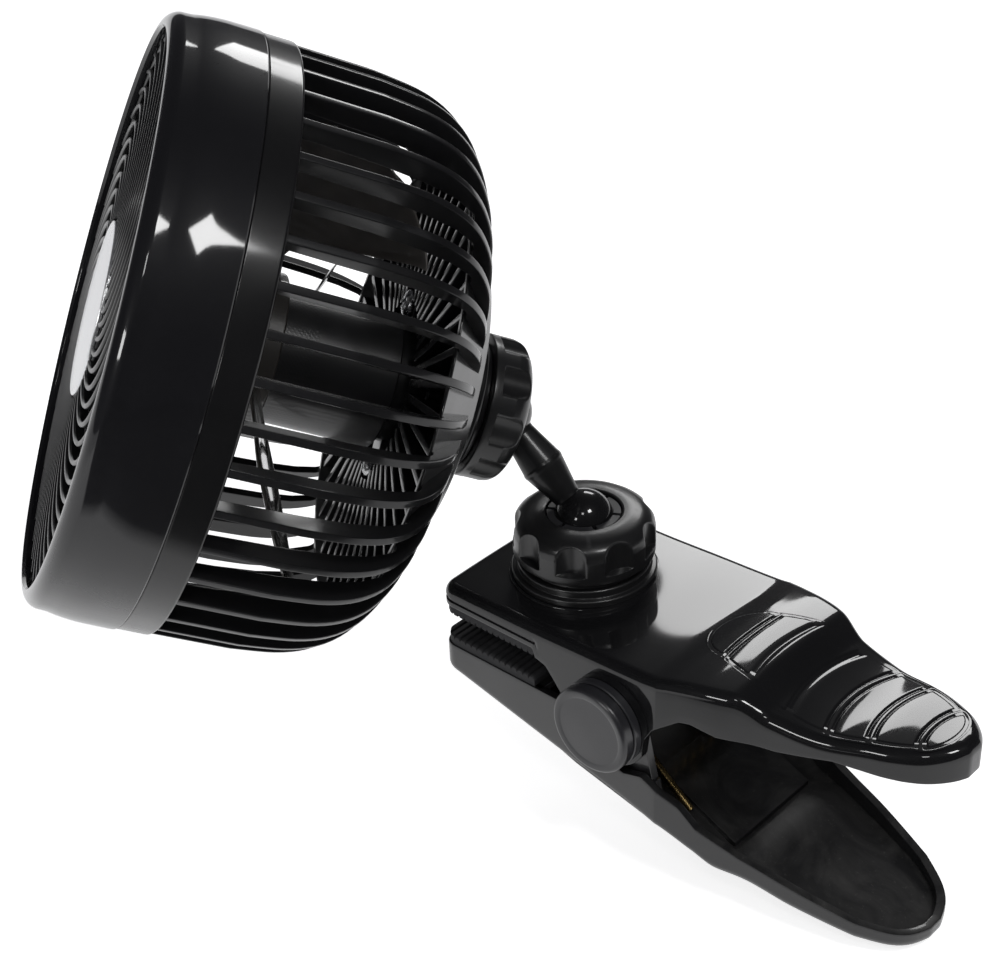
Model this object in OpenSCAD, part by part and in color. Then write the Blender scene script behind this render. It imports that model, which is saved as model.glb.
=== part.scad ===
// Car clip fan: a round fan head on a double ball arm over a sprung jaw clamp.
// Frame: X across the clamp, Y along it (nose at -Y, thumb end at +Y), Z up.
// Origin: on the gripping face of the upper pad, right below the swivel socket.
// All sizes in millimetres.

/* [Show] */
// Which node to draw, or all of them

/* [Pose at rest] */
// How far the arm is lifted above level, in degrees
arm_lift = 48; // [40:1:90]
// How far the arm is swung from the nose direction, in degrees
arm_turn = 13.3; // [-60:0.1:60]
// How far the front of the head looks up, in degrees
head_tilt = 22.2; // [10:0.1:60]
// How far the head is turned from the nose direction, in degrees
head_turn = 51.2; // [-60:0.1:60]

/* [Head] */
// Radius of the head at the seam between bezel and band
head_r = 80; // [60:0.5:100]
// Distance from the head ball to that seam
seam_z = 90.9; // [80:0.1:100]
// Height of the plain band behind the seam
band_h = 9.1; // [6:0.1:14]
// Wall of the band and bezel
shell_t = 2.6; // [1.5:0.1:4]
// Distance from the seam to the front lip
bezel_h = 23.8; // [15:0.1:30]
// Width of the bezel's lip, from the seam's radius to the opening
lip_w = 5.9; // [4:0.1:12]
// Number of ribs in the rear cage, and of bars in the front grille
ribs = 44; // [20:1:60]
// Thickness of one rib
rib_t = 2.2; // [1.2:0.1:3]
// Angle of the first rib
rib_phase = 3.68; // [0:0.01:8]
// Radius of the bare badge disc
badge_r = 23.9; // [15:0.1:30]
// Fall of the front grille from its hub to its rim
dish = 1.3; // [0.5:0.1:4]
// Sweep of one grille bar from hub to rim, in degrees
bar_sweep = 60; // [0:1:70]

/* [Motor and fan] */
// Outer radius of the motor pod
pod_r = 18.5; // [15:0.1:22]
// Radius of the motor can
can_r = 15.2; // [12:0.1:16]
// Radius of the motor shaft
shaft_r = 1.6; // [1:0.1:3]
// Radius over the blade tips
tip_r = 62.2; // [55:0.1:68]
// Number of blades
blades = 3; // [3:1:5]
// Rise of a blade per millimetre across it
blade_pitch = 0.48; // [0.2:0.01:0.7]
// Height of the blades' middle over the head ball
blade_z = 69.5; // [66:0.5:76]
// Angle of the first blade
fan_phase = -6; // [-60:1:60]
// Radius of the fan's hub cup
cup_r = 21.4; // [18:0.1:26]

/* [Ball joints] */
// Radius of both balls
ball_r = 8.56; // [6:0.01:11]
// Distance between the two ball centres
arm_len = 37.8; // [30:0.1:60]
// Height of the base ball over the pad face
ball_z = 27; // [20:0.1:35]
// Outer radius of the ring nuts
nut_r = 20.1; // [16:0.1:24]
// Height of the ring nuts
nut_h = 9.45; // [6:0.05:14]
// Number of grip recesses on a ring nut
nut_grips = 9; // [6:1:14]
// Radius of the opening in a ring nut
nut_open_r = 10.7; // [9:0.1:13]
// How far the domed face of a ring nut rises past the ball's centre
nut_rise = 3.1; // [2:0.1:4]
// Running clearance of balls, seats and threads
run_gap = 0.05; // [0.02:0.01:0.1]

/* [Clamp] */
// Half of the clamp's width
half_w = 30.9; // [20:0.1:40]
// Wall of both jaws
wall = 2.6; // [1.5:0.1:4]
// Thickness of the rubber pads
pad_t = 3; // [1.5:0.1:5]
// Gap between the pads in this pose
mouth = 7.2; // [1:0.1:30]
// Position of the pivot along the clamp
pivot_y = 33.1; // [25:0.1:45]
// Height of the pivot
pivot_z = -8.5; // [-12:0.1:-4]
// Radius of the pivot pin
pin_r = 4; // [2:0.1:6]
// Radius of the round caps over the pivot
cap_r = 12.8; // [9:0.1:16]
// How far a cap stands out from the side wall
cap_h = 6.9; // [3:0.1:10]
// Wire diameter of the torsion spring
wire_d = 2.4; // [1:0.1:4]
// Number of full turns of the torsion spring
turns = 9; // [3:1:12]

/* [Hidden] */
$fn = 64;
eps = 0.02;
head_ball = [arm_len * cos(arm_lift) * sin(arm_turn),
             -arm_len * cos(arm_lift) * cos(arm_turn),
             ball_z + arm_len * sin(arm_lift)];
lip_r = head_r - lip_w;
lip_z = seam_z + bezel_h;
band_z = seam_z - band_h;
seat_r = 12.3;
seat_h = 10.6;
fit_r = seat_r + run_gap;
thread_r = 16.5;
nut_lip = 2.2;
socket_lip = 2.6;
socket_foot_z = 10.8;
collar_z = 11.7;
bowl_rim_z = 33.9;
bowl_back_z = 18.9;
lug_z = 29;
lug_r = 22.2;
lug_a = 115.7;
pod_front = 70.9;
pod_rear = 33.9;
jaw_nose = -28;
jaw_tip = 126;
low_tip = 120.5;
pad_len = 35;
ear_r = 14;
pocket_r = 15.6;
in_ear_x = half_w - wall - 0.3;
black = [0.07, 0.07, 0.075];
satin = [0.10, 0.10, 0.105];
grey = [0.22, 0.22, 0.23];
steel = [0.62, 0.63, 0.65];
gold = [0.72, 0.58, 0.30];

// Places a child in the head's own frame, +Z toward the front
module at_head() {
    translate(head_ball)
        rotate([90 - head_tilt, 0, head_turn]) children();
}

// Places a child on the pivot, its +Z along world +X
module at_pivot() {
    translate([0, pivot_y, pivot_z]) rotate([0, 90, 0]) children();
}

// A ring between two radii and two heights
module ring(r_out, r_in, z0, z1) {
    difference() {
        translate([0, 0, z0]) cylinder(h = z1 - z0, r = r_out);
        translate([0, 0, z0 - 1]) cylinder(h = z1 - z0 + 2, r = r_in);
    }
}

// A plate of profile (y, z) spanning x from x0 to x1
module slab(pts, x0, x1) {
    translate([x0, 0, 0])
        rotate([90, 0, 90])
            linear_extrude(height = x1 - x0) polygon(pts);
}

// Points of an arc in the plane
function arc(c, r, a0, a1, n) =
    [for (i = [0:n]) let (a = a0 + (a1 - a0) * i / n)
        [c[0] + r * cos(a), c[1] + r * sin(a)]];

// Glossy front bezel with a rounded lip
module front_bezel() {
    color(black) at_head() rotate_extrude($fn = 96)
        polygon(concat([[head_r - shell_t, seam_z], [head_r + 0.2, seam_z]],
                       [[head_r + 0.1, seam_z + 9]],
                       arc([head_r - 5.3, lip_z - 4.2], 4.2, 0, 90, 5),
                       [[lip_r, lip_z - 0.9], [lip_r, lip_z - 2.6]],
                       [[head_r - shell_t - 1, lip_z - 5.5]]));
}

// Share of the way from the badge to the lip at a radius
function span_at(r) = min(1, max(0, (r - badge_r) / (lip_r - badge_r)));

// Height of the grille's front face at a radius: a shallow cone
function dish_z(r) = lip_z - 0.8 - dish * span_at(r);

// Polar angle of a grille bar's middle at a radius, and its lean away from the radius there
function bar_a(r) = bar_sweep * pow(span_at(r), 1.3);
function bar_lean(r) = atan(r * bar_sweep * PI / 180 * 1.3 * pow(span_at(r), 0.3)
                            / (lip_r - badge_r));

// Front grille: a rim, a hub plate and the swept bars in between
module front_grille() {
    r_in = badge_r + 0.2;
    r_out = lip_r - 1.2;
    n = 8;
    bar_w = 1.5;
    rad = [for (i = [0:n]) r_in + (r_out - r_in) * i / n];
    left = [for (r = rad) let (t = bar_a(r) + bar_lean(r))
        [r * cos(bar_a(r)) - bar_w / 2 * sin(t), r * sin(bar_a(r)) + bar_w / 2 * cos(t)]];
    right = [for (i = [n:-1:0]) let (r = rad[i], t = bar_a(r) + bar_lean(r))
        [r * cos(bar_a(r)) + bar_w / 2 * sin(t), r * sin(bar_a(r)) - bar_w / 2 * cos(t)]];
    dish_r = [for (i = [0:6]) r_in + (r_out - r_in) * i / 6];
    color(satin) at_head() {
        intersection() {
            translate([0, 0, lip_z - 14])
                linear_extrude(height = 14)
                    for (i = [0:ribs - 1]) rotate(i * 360 / ribs)
                        polygon(concat(left, right));
            rotate_extrude($fn = 96)
                polygon(concat([for (r = dish_r) [r, dish_z(r)]],
                               [for (i = [6:-1:0]) [dish_r[i], dish_z(dish_r[i]) - 3]]));
        }
        ring(badge_r + 1.3, 6, lip_z - 4.4, lip_z - 1.6);
        ring(lip_r - 0.3, lip_r - 2.2, lip_z - 7.6, lip_z - 2.7);
        ring(head_r - shell_t - 1.2, lip_r - 2.2, lip_z - 9.6, lip_z - 6.6);
    }
}

// Bare disc in the middle of the grille
module centre_badge() {
    color([0.80, 0.81, 0.83]) at_head() {
        translate([0, 0, lip_z - 1.6]) cylinder(h = 1.2, r = badge_r - 0.6);
        translate([0, 0, lip_z - 0.45]) cylinder(h = 0.45, r = badge_r - 1.2);
        translate([0, 0, lip_z - 5.5]) cylinder(h = 4, r = 5.9);
    }
}

// Side profile of one rib: (radius, distance behind the seam), fin included
module rib_shape() {
    outer = [[head_r - 0.7, 4], [head_r - 1, 30], [head_r - 2.3, 42], [head_r - 4.7, 50],
             [head_r - 8.5, 56], [head_r - 13.5, 60.5], [head_r - 20, 64.4],
             [53, 67], [47.5, 68.6], [41, 70.4]];
    inner = [[23.6, 70.4], [23.6, 57.6], [head_r - 14, 57.6], [head_r - 10.4, 51],
             [head_r - 8.2, 42], [head_r - 6.8, 30], [head_r - 5.6, 9.5],
             [head_r - 1.8, 6.4], [head_r - 1.8, 4]];
    polygon([for (p = concat(outer, inner)) [p[0], seam_z - p[1]]]);
}

// Rear cage: band, ribs, closed rear bowl and the threaded socket
module rear_cage() {
    color(satin) at_head() difference() {
        union() {
            ring(head_r - 0.26, head_r - shell_t - 0.2, band_z, seam_z);
            for (i = [0:ribs - 1])
                rotate([0, 0, rib_phase + i * 360 / ribs])
                    rotate([90, 0, 0])
                        translate([0, 0, -rib_t / 2])
                            linear_extrude(height = rib_t) rib_shape();
            rotate_extrude($fn = 96)
                polygon([[0, bowl_back_z], [40.6, bowl_back_z], [42.4, bowl_back_z + 2],
                         [head_r - 15.4, bowl_rim_z], [head_r - 17.8, bowl_rim_z],
                         [40.8, bowl_back_z + 2.6], [0, bowl_back_z + 2.6]]);
            ring(24.6, 22.2, bowl_back_z + 1, lug_z - 1);
            for (s = [0, 180]) rotate(lug_a + s)
                translate([lug_r, 0, bowl_back_z + 1])
                    cylinder(h = lug_z - bowl_back_z - 1, r = 4.2);
            translate([0, 0, collar_z]) cylinder(h = 8, r = 21.3);
            translate([0, 0, nut_h]) cylinder(h = 3, r = 17.4);
            translate([0, 0, socket_lip]) cylinder(h = 8, r = thread_r);
        }
        translate([0, 0, 13.4]) cylinder(h = 12, r = 14);
        translate([0, 0, -1]) cylinder(h = seat_h + 1.2, r = fit_r);
        translate([0, 0, 5]) cylinder(h = 20, r = 3.2);
        // Screw holes, and the fins cut back round the pod's lugs
        for (s = [0, 180]) rotate(lug_a + s) {
            translate([lug_r, 0, 23]) cylinder(h = 14, r = 1.3);
            translate([lug_r, 0, lug_z]) cylinder(h = 6, r = 4.8);
        }
    }
}

// Motor pod: barrel with a narrower foot in the bowl and two screw lugs
module motor_pod() {
    foot_z = bowl_back_z + 2.7;
    color(satin) at_head() difference() {
        union() {
            translate([0, 0, pod_rear + 1.1]) cylinder(h = pod_front - pod_rear - 1.1, r = pod_r);
            translate([0, 0, foot_z]) cylinder(h = pod_rear - foot_z + 2, r = 16);
            for (s = [0, 180]) rotate(lug_a + s) {
                translate([lug_r, 0, lug_z + 0.1]) cylinder(h = 3, r = 4.4);
                translate([15, -4.4, lug_z + 0.1]) cube([lug_r - 15, 8.8, 3]);
            }
        }
        translate([0, 0, pod_rear + 2]) cylinder(h = 60, r = can_r + eps);
        translate([0, 0, foot_z - 1]) cylinder(h = pod_rear - foot_z + 1, r = 13.6);
        translate([0, 0, 10]) cylinder(h = 60, r = 4.3);
        for (s = [0, 180]) rotate(lug_a + s)
            translate([lug_r, 0, 20]) cylinder(h = 30, r = 1.7);
    }
}

// Pan head screws that hold the pod's lugs on the bowl's bosses
module pod_screws() {
    head_z = lug_z + 3.15;
    color(steel) at_head() for (s = [0, 180]) rotate(lug_a + s)
        translate([lug_r, 0, 0]) difference() {
            union() {
                translate([0, 0, head_z]) cylinder(h = 1.4, r = 3.9);
                translate([0, 0, head_z + 1.4]) cylinder(h = 1.2, r1 = 3.9, r2 = 2.4);
                translate([0, 0, 25]) cylinder(h = head_z - 24.9, r = 1.28);
            }
            translate([-0.5, -2.2, head_z + 1]) cube([1, 4.4, 3]);
            translate([-2.2, -0.5, head_z + 1]) cube([4.4, 1, 3]);
        }
}

// Drawn steel can of the motor
module motor_can() {
    color(steel) at_head() difference() {
        translate([0, 0, pod_rear + 2]) cylinder(h = pod_front - pod_rear - 1.2, r = can_r);
        translate([0, 0, pod_rear + 1]) cylinder(h = 33.5, r = can_r - 1.1);
        translate([0, 0, pod_rear]) cylinder(h = 60, r = 3);
    }
}

// Plastic end cap that closes the can at the rear
module motor_end_cap() {
    color(grey) at_head() difference() {
        union() {
            translate([0, 0, pod_rear + 2.1]) cylinder(h = 3, r = can_r - 1.15);
            translate([0, 0, pod_rear - 1.5]) cylinder(h = 4, r = 4.2);
        }
        translate([0, 0, pod_rear - 5]) cylinder(h = 20, r = 3);
    }
}

// Sleeve bearing at one end of the motor
module bush(z0, z1) {
    color(gold) at_head() ring(2.98, shaft_r + 0.03, z0, z1);
}
module front_bush() { bush(66.6, 71.7); }
module rear_bush() { bush(pod_rear - 0.8, pod_rear + 5.4); }

// Shaft from the rear bearing to the fan hub
module motor_shaft() {
    color(steel) at_head() translate([0, 0, pod_rear - 0.5]) cylinder(h = 62, r = shaft_r);
}

// Wound rotor: a laminated core with three poles and the commutator
module rotor_core() {
    color([0.45, 0.30, 0.18]) at_head() difference() {
        union() {
            for (a = [0:120:240]) rotate(a) {
                translate([2, -2, 45]) cube([9.5, 4, 15]);
                intersection() {
                    ring(13.2, 10.8, 45, 60);
                    translate([8, -7, 45]) cube([8, 14, 15]);
                }
                translate([4.6, -4.2, 43.4]) cube([5.4, 8.4, 18.2]);
            }
            translate([0, 0, 41]) cylinder(h = 19, r = 4.4);
        }
        translate([0, 0, 30]) cylinder(h = 40, r = shaft_r);
    }
}

// One blade: a pitched sheet, its straight leading edge swept out to the tip
module blade() {
    m = 8;
    k = 8;
    t = 1.3;
    bend_r = 31;
    lead_u = 30.4;
    width_a = 68;
    function span(i) = cup_r - 0.8 + (tip_r - cup_r + 0.8) * i / m;
    function lead(r) = r < bend_r ? -11.2 + 2.1 * (bend_r - r) : -acos(lead_u / r);
    function slope(r) = blade_pitch * (1 + 0.16 * (tip_r - r) / tip_r);
    function pt(i, j, side) =
        let (r = span(i), a = lead(r) + width_a * j / k,
             edge = min(1, 0.45 + 1.6 * min(j, k - j) / k))
        [r * cos(a), r * sin(a), blade_z + slope(r) * r * sin(a) + side * edge * t / 2];
    low = [for (i = [0:m]) for (j = [0:k]) pt(i, j, -1)];
    top = [for (i = [0:m]) for (j = [0:k]) pt(i, j, 1)];
    w = k + 1;
    half = (m + 1) * w;
    function quad(a, b, c, d) = [[a, b, c], [a, c, d]];
    faces = concat(
        [for (i = [0:m - 1]) for (j = [0:k - 1])
            for (f = quad(i * w + j, (i + 1) * w + j, (i + 1) * w + j + 1, i * w + j + 1)) f],
        [for (i = [0:m - 1]) for (j = [0:k - 1])
            for (f = quad(half + i * w + j, half + i * w + j + 1,
                          half + (i + 1) * w + j + 1, half + (i + 1) * w + j)) f],
        [for (i = [0:m - 1]) for (f = quad(i * w, half + i * w, half + (i + 1) * w, (i + 1) * w)) f],
        [for (i = [0:m - 1]) for (f = quad(i * w + k, (i + 1) * w + k,
                                           half + (i + 1) * w + k, half + i * w + k)) f],
        [for (j = [0:k - 1]) for (f = quad(j, j + 1, half + j + 1, half + j)) f],
        [for (j = [0:k - 1]) let (b = m * w)
            for (f = quad(b + j, half + b + j, half + b + j + 1, b + j + 1)) f]);
    polyhedron(points = concat(low, top), faces = faces, convexity = 4);
}

// Fan: hub cup over the front of the motor, and the swept blades
module fan_blade() {
    cup_rear = 67.4;
    color(black) at_head() {
        for (i = [0:blades - 1]) rotate(i * 360 / blades + fan_phase) blade();
        difference() {
            union() {
                translate([0, 0, cup_rear]) cylinder(h = 98 - cup_rear, r = cup_r);
                translate([0, 0, 97.9]) cylinder(h = 2.6, r1 = cup_r, r2 = cup_r - 3);
            }
            translate([0, 0, cup_rear - 1]) cylinder(h = 98.4 - cup_rear, r = cup_r - 2.2);
        }
        ring(5, shaft_r, 78, 98);
    }
}

// Ball seat: a cup round the ball, split into fingers at its open end
module ball_seat() {
    difference() {
        union() {
            translate([0, 0, nut_lip + 0.1]) cylinder(h = seat_h - nut_lip - 0.1, r = seat_r);
            translate([0, 0, 0.7 - nut_rise])
                cylinder(h = nut_rise + 3, r = nut_open_r - 0.35);
        }
        sphere(r = ball_r + run_gap);
        for (a = [0:60:120]) rotate(a)
            translate([-20, -0.6, -nut_rise]) cube([40, 1.2, nut_rise + 4]);
    }
}

// Ring nut with a domed face at -Z, fluted grips and a plain rim at its threaded end
module ring_nut() {
    flute_r = 5.85;
    flute_in = 2.3;
    flute_z = 6.6;
    dome = [[nut_open_r, 0.4 - nut_rise], [nut_open_r + 0.5, -nut_rise],
            [nut_r - 6.5, -nut_rise], [nut_r - 4.1, 0.5 - nut_rise],
            [nut_r - 2.5, 1.2 - nut_rise], [nut_r - 1.2, 2.2 - nut_rise],
            [nut_r - 0.4, 3.5 - nut_rise], [nut_r, 5.3 - nut_rise]];
    difference() {
        rotate_extrude()
            polygon(concat(dome, [[nut_r, nut_h - 0.1], [thread_r - 4, nut_h - 0.1],
                                  [thread_r - 4, nut_lip], [nut_open_r, nut_lip]]));
        translate([0, 0, nut_lip]) cylinder(h = 20, r = thread_r + 0.08);
        for (i = [0:nut_grips - 1]) rotate(i * 360 / nut_grips + 10)
            translate([nut_r - flute_in + flute_r, 0, -10])
                cylinder(h = 10 + flute_z, r = flute_r);
    }
}

module head_ball_seat() { color(grey) at_head() ball_seat(); }
module head_ring_nut() { color(satin) at_head() ring_nut(); }
module base_ball_seat() { color(grey) translate([0, 0, ball_z]) rotate([180, 0, 0]) ball_seat(); }
module base_ring_nut() { color(satin) translate([0, 0, ball_z]) rotate([180, 0, 0]) ring_nut(); }

// Link arm: two balls joined by a double cone
module link_arm() {
    mid = arm_len / 2;
    color(black) translate([0, 0, ball_z])
        rotate([90 - arm_lift, 0, arm_turn]) {
            sphere(r = ball_r);
            translate([0, 0, arm_len]) sphere(r = ball_r);
            translate([0, 0, 3]) cylinder(h = 5, r = 4);
            translate([0, 0, 7.9]) cylinder(h = mid - 8.5, r1 = 4, r2 = 6.15);
            translate([0, 0, mid - 0.6]) cylinder(h = 1.2, r = 6.15);
            translate([0, 0, mid + 0.6]) cylinder(h = arm_len - mid - 9.6, r1 = 6.15, r2 = 4.5);
            translate([0, 0, arm_len - 9]) cylinder(h = 5, r = 4.5);
        }
}

// Socket screwed to the jaw, with the thread for the base ring nut
module base_socket() {
    floor_z = ball_z - seat_h - 0.2;
    color(satin) difference() {
        union() {
            translate([0, 0, socket_foot_z]) cylinder(h = 2, r = 20.6);
            translate([0, 0, 12.7]) cylinder(h = 2.4, r = 19);
            translate([0, 0, 12.7]) cylinder(h = ball_z - nut_h - 12.7, r = 17.4);
            translate([0, 0, 12.7]) cylinder(h = ball_z - socket_lip - 12.7, r = thread_r);
        }
        translate([0, 0, floor_z]) cylinder(h = 20, r = fit_r);
        for (a = [0:120:240]) rotate(a)
            translate([14.2, 0, 9]) cylinder(h = 9, r = 1.35);
    }
}

// Screws that hold the socket, driven from inside the jaw
module socket_screws() {
    color(steel) for (a = [0:120:240]) rotate(a) translate([14.2, 0, 0]) difference() {
        union() {
            translate([0, 0, 5.5]) cylinder(h = 2, r = 2.7);
            translate([0, 0, 7]) cylinder(h = 10, r = 1.33);
        }
        translate([-0.45, -2, 4.5]) cube([0.9, 4, 2]);
        translate([-2, -0.45, 4.5]) cube([4, 0.9, 2]);
    }
}

// Outline of a jaw seen from above, shrunk by a wall
module outline(tip, d, low = false) {
    w = half_w - d;
    nose = jaw_nose + d;
    // Half widths toward the thumb end, as shares of half_w; the lower jaw is fuller there
    side = low ? [[1, 50], [0.9709, 54], [0.8738, 67], [0.7961, 77], [0.7120, 90], [0.5890, 104]]
         : [[1, 50], [0.9709, 54], [0.8738, 67], [0.7508, 77], [0.6634, 90], [0.5566, 104]];
    end = low ? [[0.5372, 12.5], [0.4078, 6], [0.2654, 2.2]]
        : [[0.4919, 15], [0.3754, 7.5], [0.2265, 2.6]];
    tail = [[end[0][0] * half_w - d, tip - end[0][1]], [end[1][0] * half_w - d, tip - end[1][1]],
            [end[2][0] * half_w - d, tip - end[2][1] - d * 0.6], [0.0777 * half_w, tip - d]];
    half = concat([for (p = arc([w - 5, nose + 5], 5, -90, 0, 4)) p],
                  [for (p = side) [p[0] * half_w - d, p[1]]], tail);
    n = len(half);
    polygon(concat(half, [for (i = [n - 1:-1:0]) [-half[i][0], half[i][1]]]));
}

// Top line of the upper jaw (y, z), lowered by a wall
function top_line(d) = [[-28, 9.9 - d], [6, 10.5 - d], [25, 11.3 - d], [46, 12.2 - d],
                        [54, 13.5 - d], [63, 14.5 - d], [69, 14.7 - d], [79, 10.9 - d],
                        [92, 9.5 - d], [106, 11.4 - d], [115, 12.1 - d], [126, 13.6 - d]];

// Upper jaw: an open-bottomed shell with ears round the pivot
module upper_jaw() {
    skirt = [[126, 3.4], [114, 3], [97, 3.4], [82, 0.6], [67, 0.4], [59.8, 2.1],
             [56.8, 1.6], [49.3, -3.9], [45.3, -10.7], [44.5, -14], [22, -14],
             [19.6, -10], [13.2, -2.2], [11.8, -0.7], [7.4, 0.4], [7.4, 3], [-28, 3]];
    color(black) difference() {
        union() {
            intersection() {
                slab(concat(top_line(0), skirt), -40, 40);
                translate([0, 0, -40]) linear_extrude(height = 80) outline(jaw_tip, 0);
            }
            intersection() {
                at_pivot() translate([0, 0, -half_w]) cylinder(h = 2 * half_w, r = ear_r);
                slab([[10, -30], [60, -30], [60, 8], [10, 8]], -half_w, half_w);
            }
            translate([0, 0, 7.5]) cylinder(h = socket_foot_z - 7.5, r = 21.4);
        }
        difference() {
            intersection() {
                slab(concat(top_line(wall), [[126, -40], [-28, -40]]), -40, 40);
                translate([0, 0, -60]) linear_extrude(height = 90) outline(jaw_tip, wall);
            }
            slab([[-29, 2.9], [9.6, 2.9], [9.6, 5], [-29, 5]], -40, 40);
        }
        at_pivot() translate([0, 0, -50]) cylinder(h = 100, r = pin_r + eps);
        translate([0, 0, socket_foot_z]) cylinder(h = 3, r = 20.7);
        for (a = [0:120:240]) rotate(a) translate([14.2, 0, 0]) {
            translate([0, 0, 1]) cylinder(h = 12, r = 1.6);
            translate([0, 0, 1]) cylinder(h = 6, r = 3.2);
        }
    }
}

// Rubber pad with flat-topped teeth across it, gripping face at z = 0
module pad() {
    pitch = pad_len / 16;
    teeth = [for (i = [0:15]) for (q = [[0, 0.9], [0.25, 0], [0.75, 0], [1, 0.9]])
        [jaw_nose + 0.4 + (i + q[0]) * pitch, q[1]]];
    intersection() {
        slab(concat(teeth, [[jaw_nose + 0.4 + pad_len, pad_t], [jaw_nose + 0.4, pad_t]]),
             -half_w + 0.5, half_w - 0.5);
        translate([0, 0, -1]) linear_extrude(height = 6) outline(jaw_tip, 0.4);
    }
}

module upper_pad() { color(grey) pad(); }
module lower_pad() { color(grey) translate([0, 0, -mouth]) mirror([0, 0, 1]) pad(); }

// Lower jaw: an open-topped tray with inner ears on the pin
module lower_jaw() {
    plate_z = -mouth - pad_t;
    rim = [[-28, plate_z], [17, plate_z], [24, -20], [39.4, -23.5], [45.3, -21.7],
           [51.2, -24.4], [57, -27.1], [62, -32.6], [74, -37.6], [88.3, -41.5],
           [104, -46], [121, -50.4]];
    function keel(d) = [[121, -56.2 + d], [103, -52.6 + d], [88.3, -49.5 + d],
                        [74, -46.2 + d], [66.8, -45.6 + d], [60, -42.4 + d],
                        [48.2, -37 + d], [22.2, -30.7 + d], [-0.5, -25.7 + d],
                        [-28, -19.6 + d]];
    color(black) difference() {
        union() {
            difference() {
                intersection() {
                    slab(concat(rim, keel(0)), -40, 40);
                    translate([0, 0, -70]) linear_extrude(height = 90) outline(low_tip, 0, true);
                }
                intersection() {
                    slab(concat([[-28, 10], [121, 10]], keel(wall)), -40, 40);
                    translate([0, 0, -70]) linear_extrude(height = 90) outline(low_tip, wall, true);
                }
            }
            intersection() {
                slab([[-29, plate_z], [9.6, plate_z], [9.6, plate_z - 2.2],
                      [-29, plate_z - 2.2]], -40, 40);
                translate([0, 0, -70]) linear_extrude(height = 90) outline(low_tip, 0, true);
            }
            for (s = [-1, 1]) {
                slab([[20, -28.5], [23.6, -10], [42.6, -10], [47, -23], [50, -35.5],
                      [22.2, -29.5]], s > 0 ? in_ear_x - 2.8 : -in_ear_x,
                     s > 0 ? in_ear_x : -in_ear_x + 2.8);
                slab([[16, -27.5], [17, -21], [24, -21], [39.4, -24], [48, -24], [50, -35.5],
                      [22.2, -29.5]], s > 0 ? in_ear_x - 2.8 : -half_w + 0.4,
                     s > 0 ? half_w - 0.4 : -in_ear_x + 2.8);
                at_pivot() translate([0, 0, s > 0 ? in_ear_x - 2.8 : -in_ear_x])
                    cylinder(h = 2.8, r = 10.5);
            }
            slab([[40, -30.9], [48.2, -32.8], [60, -38.2], [67.5, -41.5],
                  [67.5, -44], [60, -41], [48.2, -35.6], [40, -33.4]], -17.3, 17.3);
        }
        at_pivot() translate([0, 0, -50]) cylinder(h = 100, r = pin_r + run_gap);
        for (s = [-1, 1]) at_pivot()
            translate([0, 0, s > 0 ? in_ear_x : -in_ear_x - 20]) cylinder(h = 20, r = pocket_r);
        at_pivot() translate([0, 0, -in_ear_x + 2.8])
            cylinder(h = 2 * in_ear_x - 5.6, r = 13.4);
    }
}

// Steel pin through both pairs of ears
module pivot_pin() {
    color(steel) at_pivot() translate([0, 0, -half_w - 3]) cylinder(h = 2 * half_w + 6, r = pin_r);
}

// Stepped round cap over a pin end, its inner face at z = 0
module cap() {
    difference() {
        union() {
            cylinder(h = 2.6, r = cap_r);
            translate([0, 0, 2.5]) cylinder(h = 0.8, r = cap_r - 0.7);
            translate([0, 0, 3.2]) cylinder(h = cap_h - 4, r = cap_r);
            translate([0, 0, cap_h - 0.9]) cylinder(h = 0.9, r1 = cap_r, r2 = cap_r - 0.9);
        }
        translate([0, 0, -1]) cylinder(h = 4.1, r = pin_r + eps);
    }
}

module pivot_cap_right() { color(black) at_pivot() translate([0, 0, half_w]) cap(); }
module pivot_cap_left() {
    color(black) at_pivot() translate([0, 0, -half_w]) mirror([0, 0, 1]) cap();
}

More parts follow.
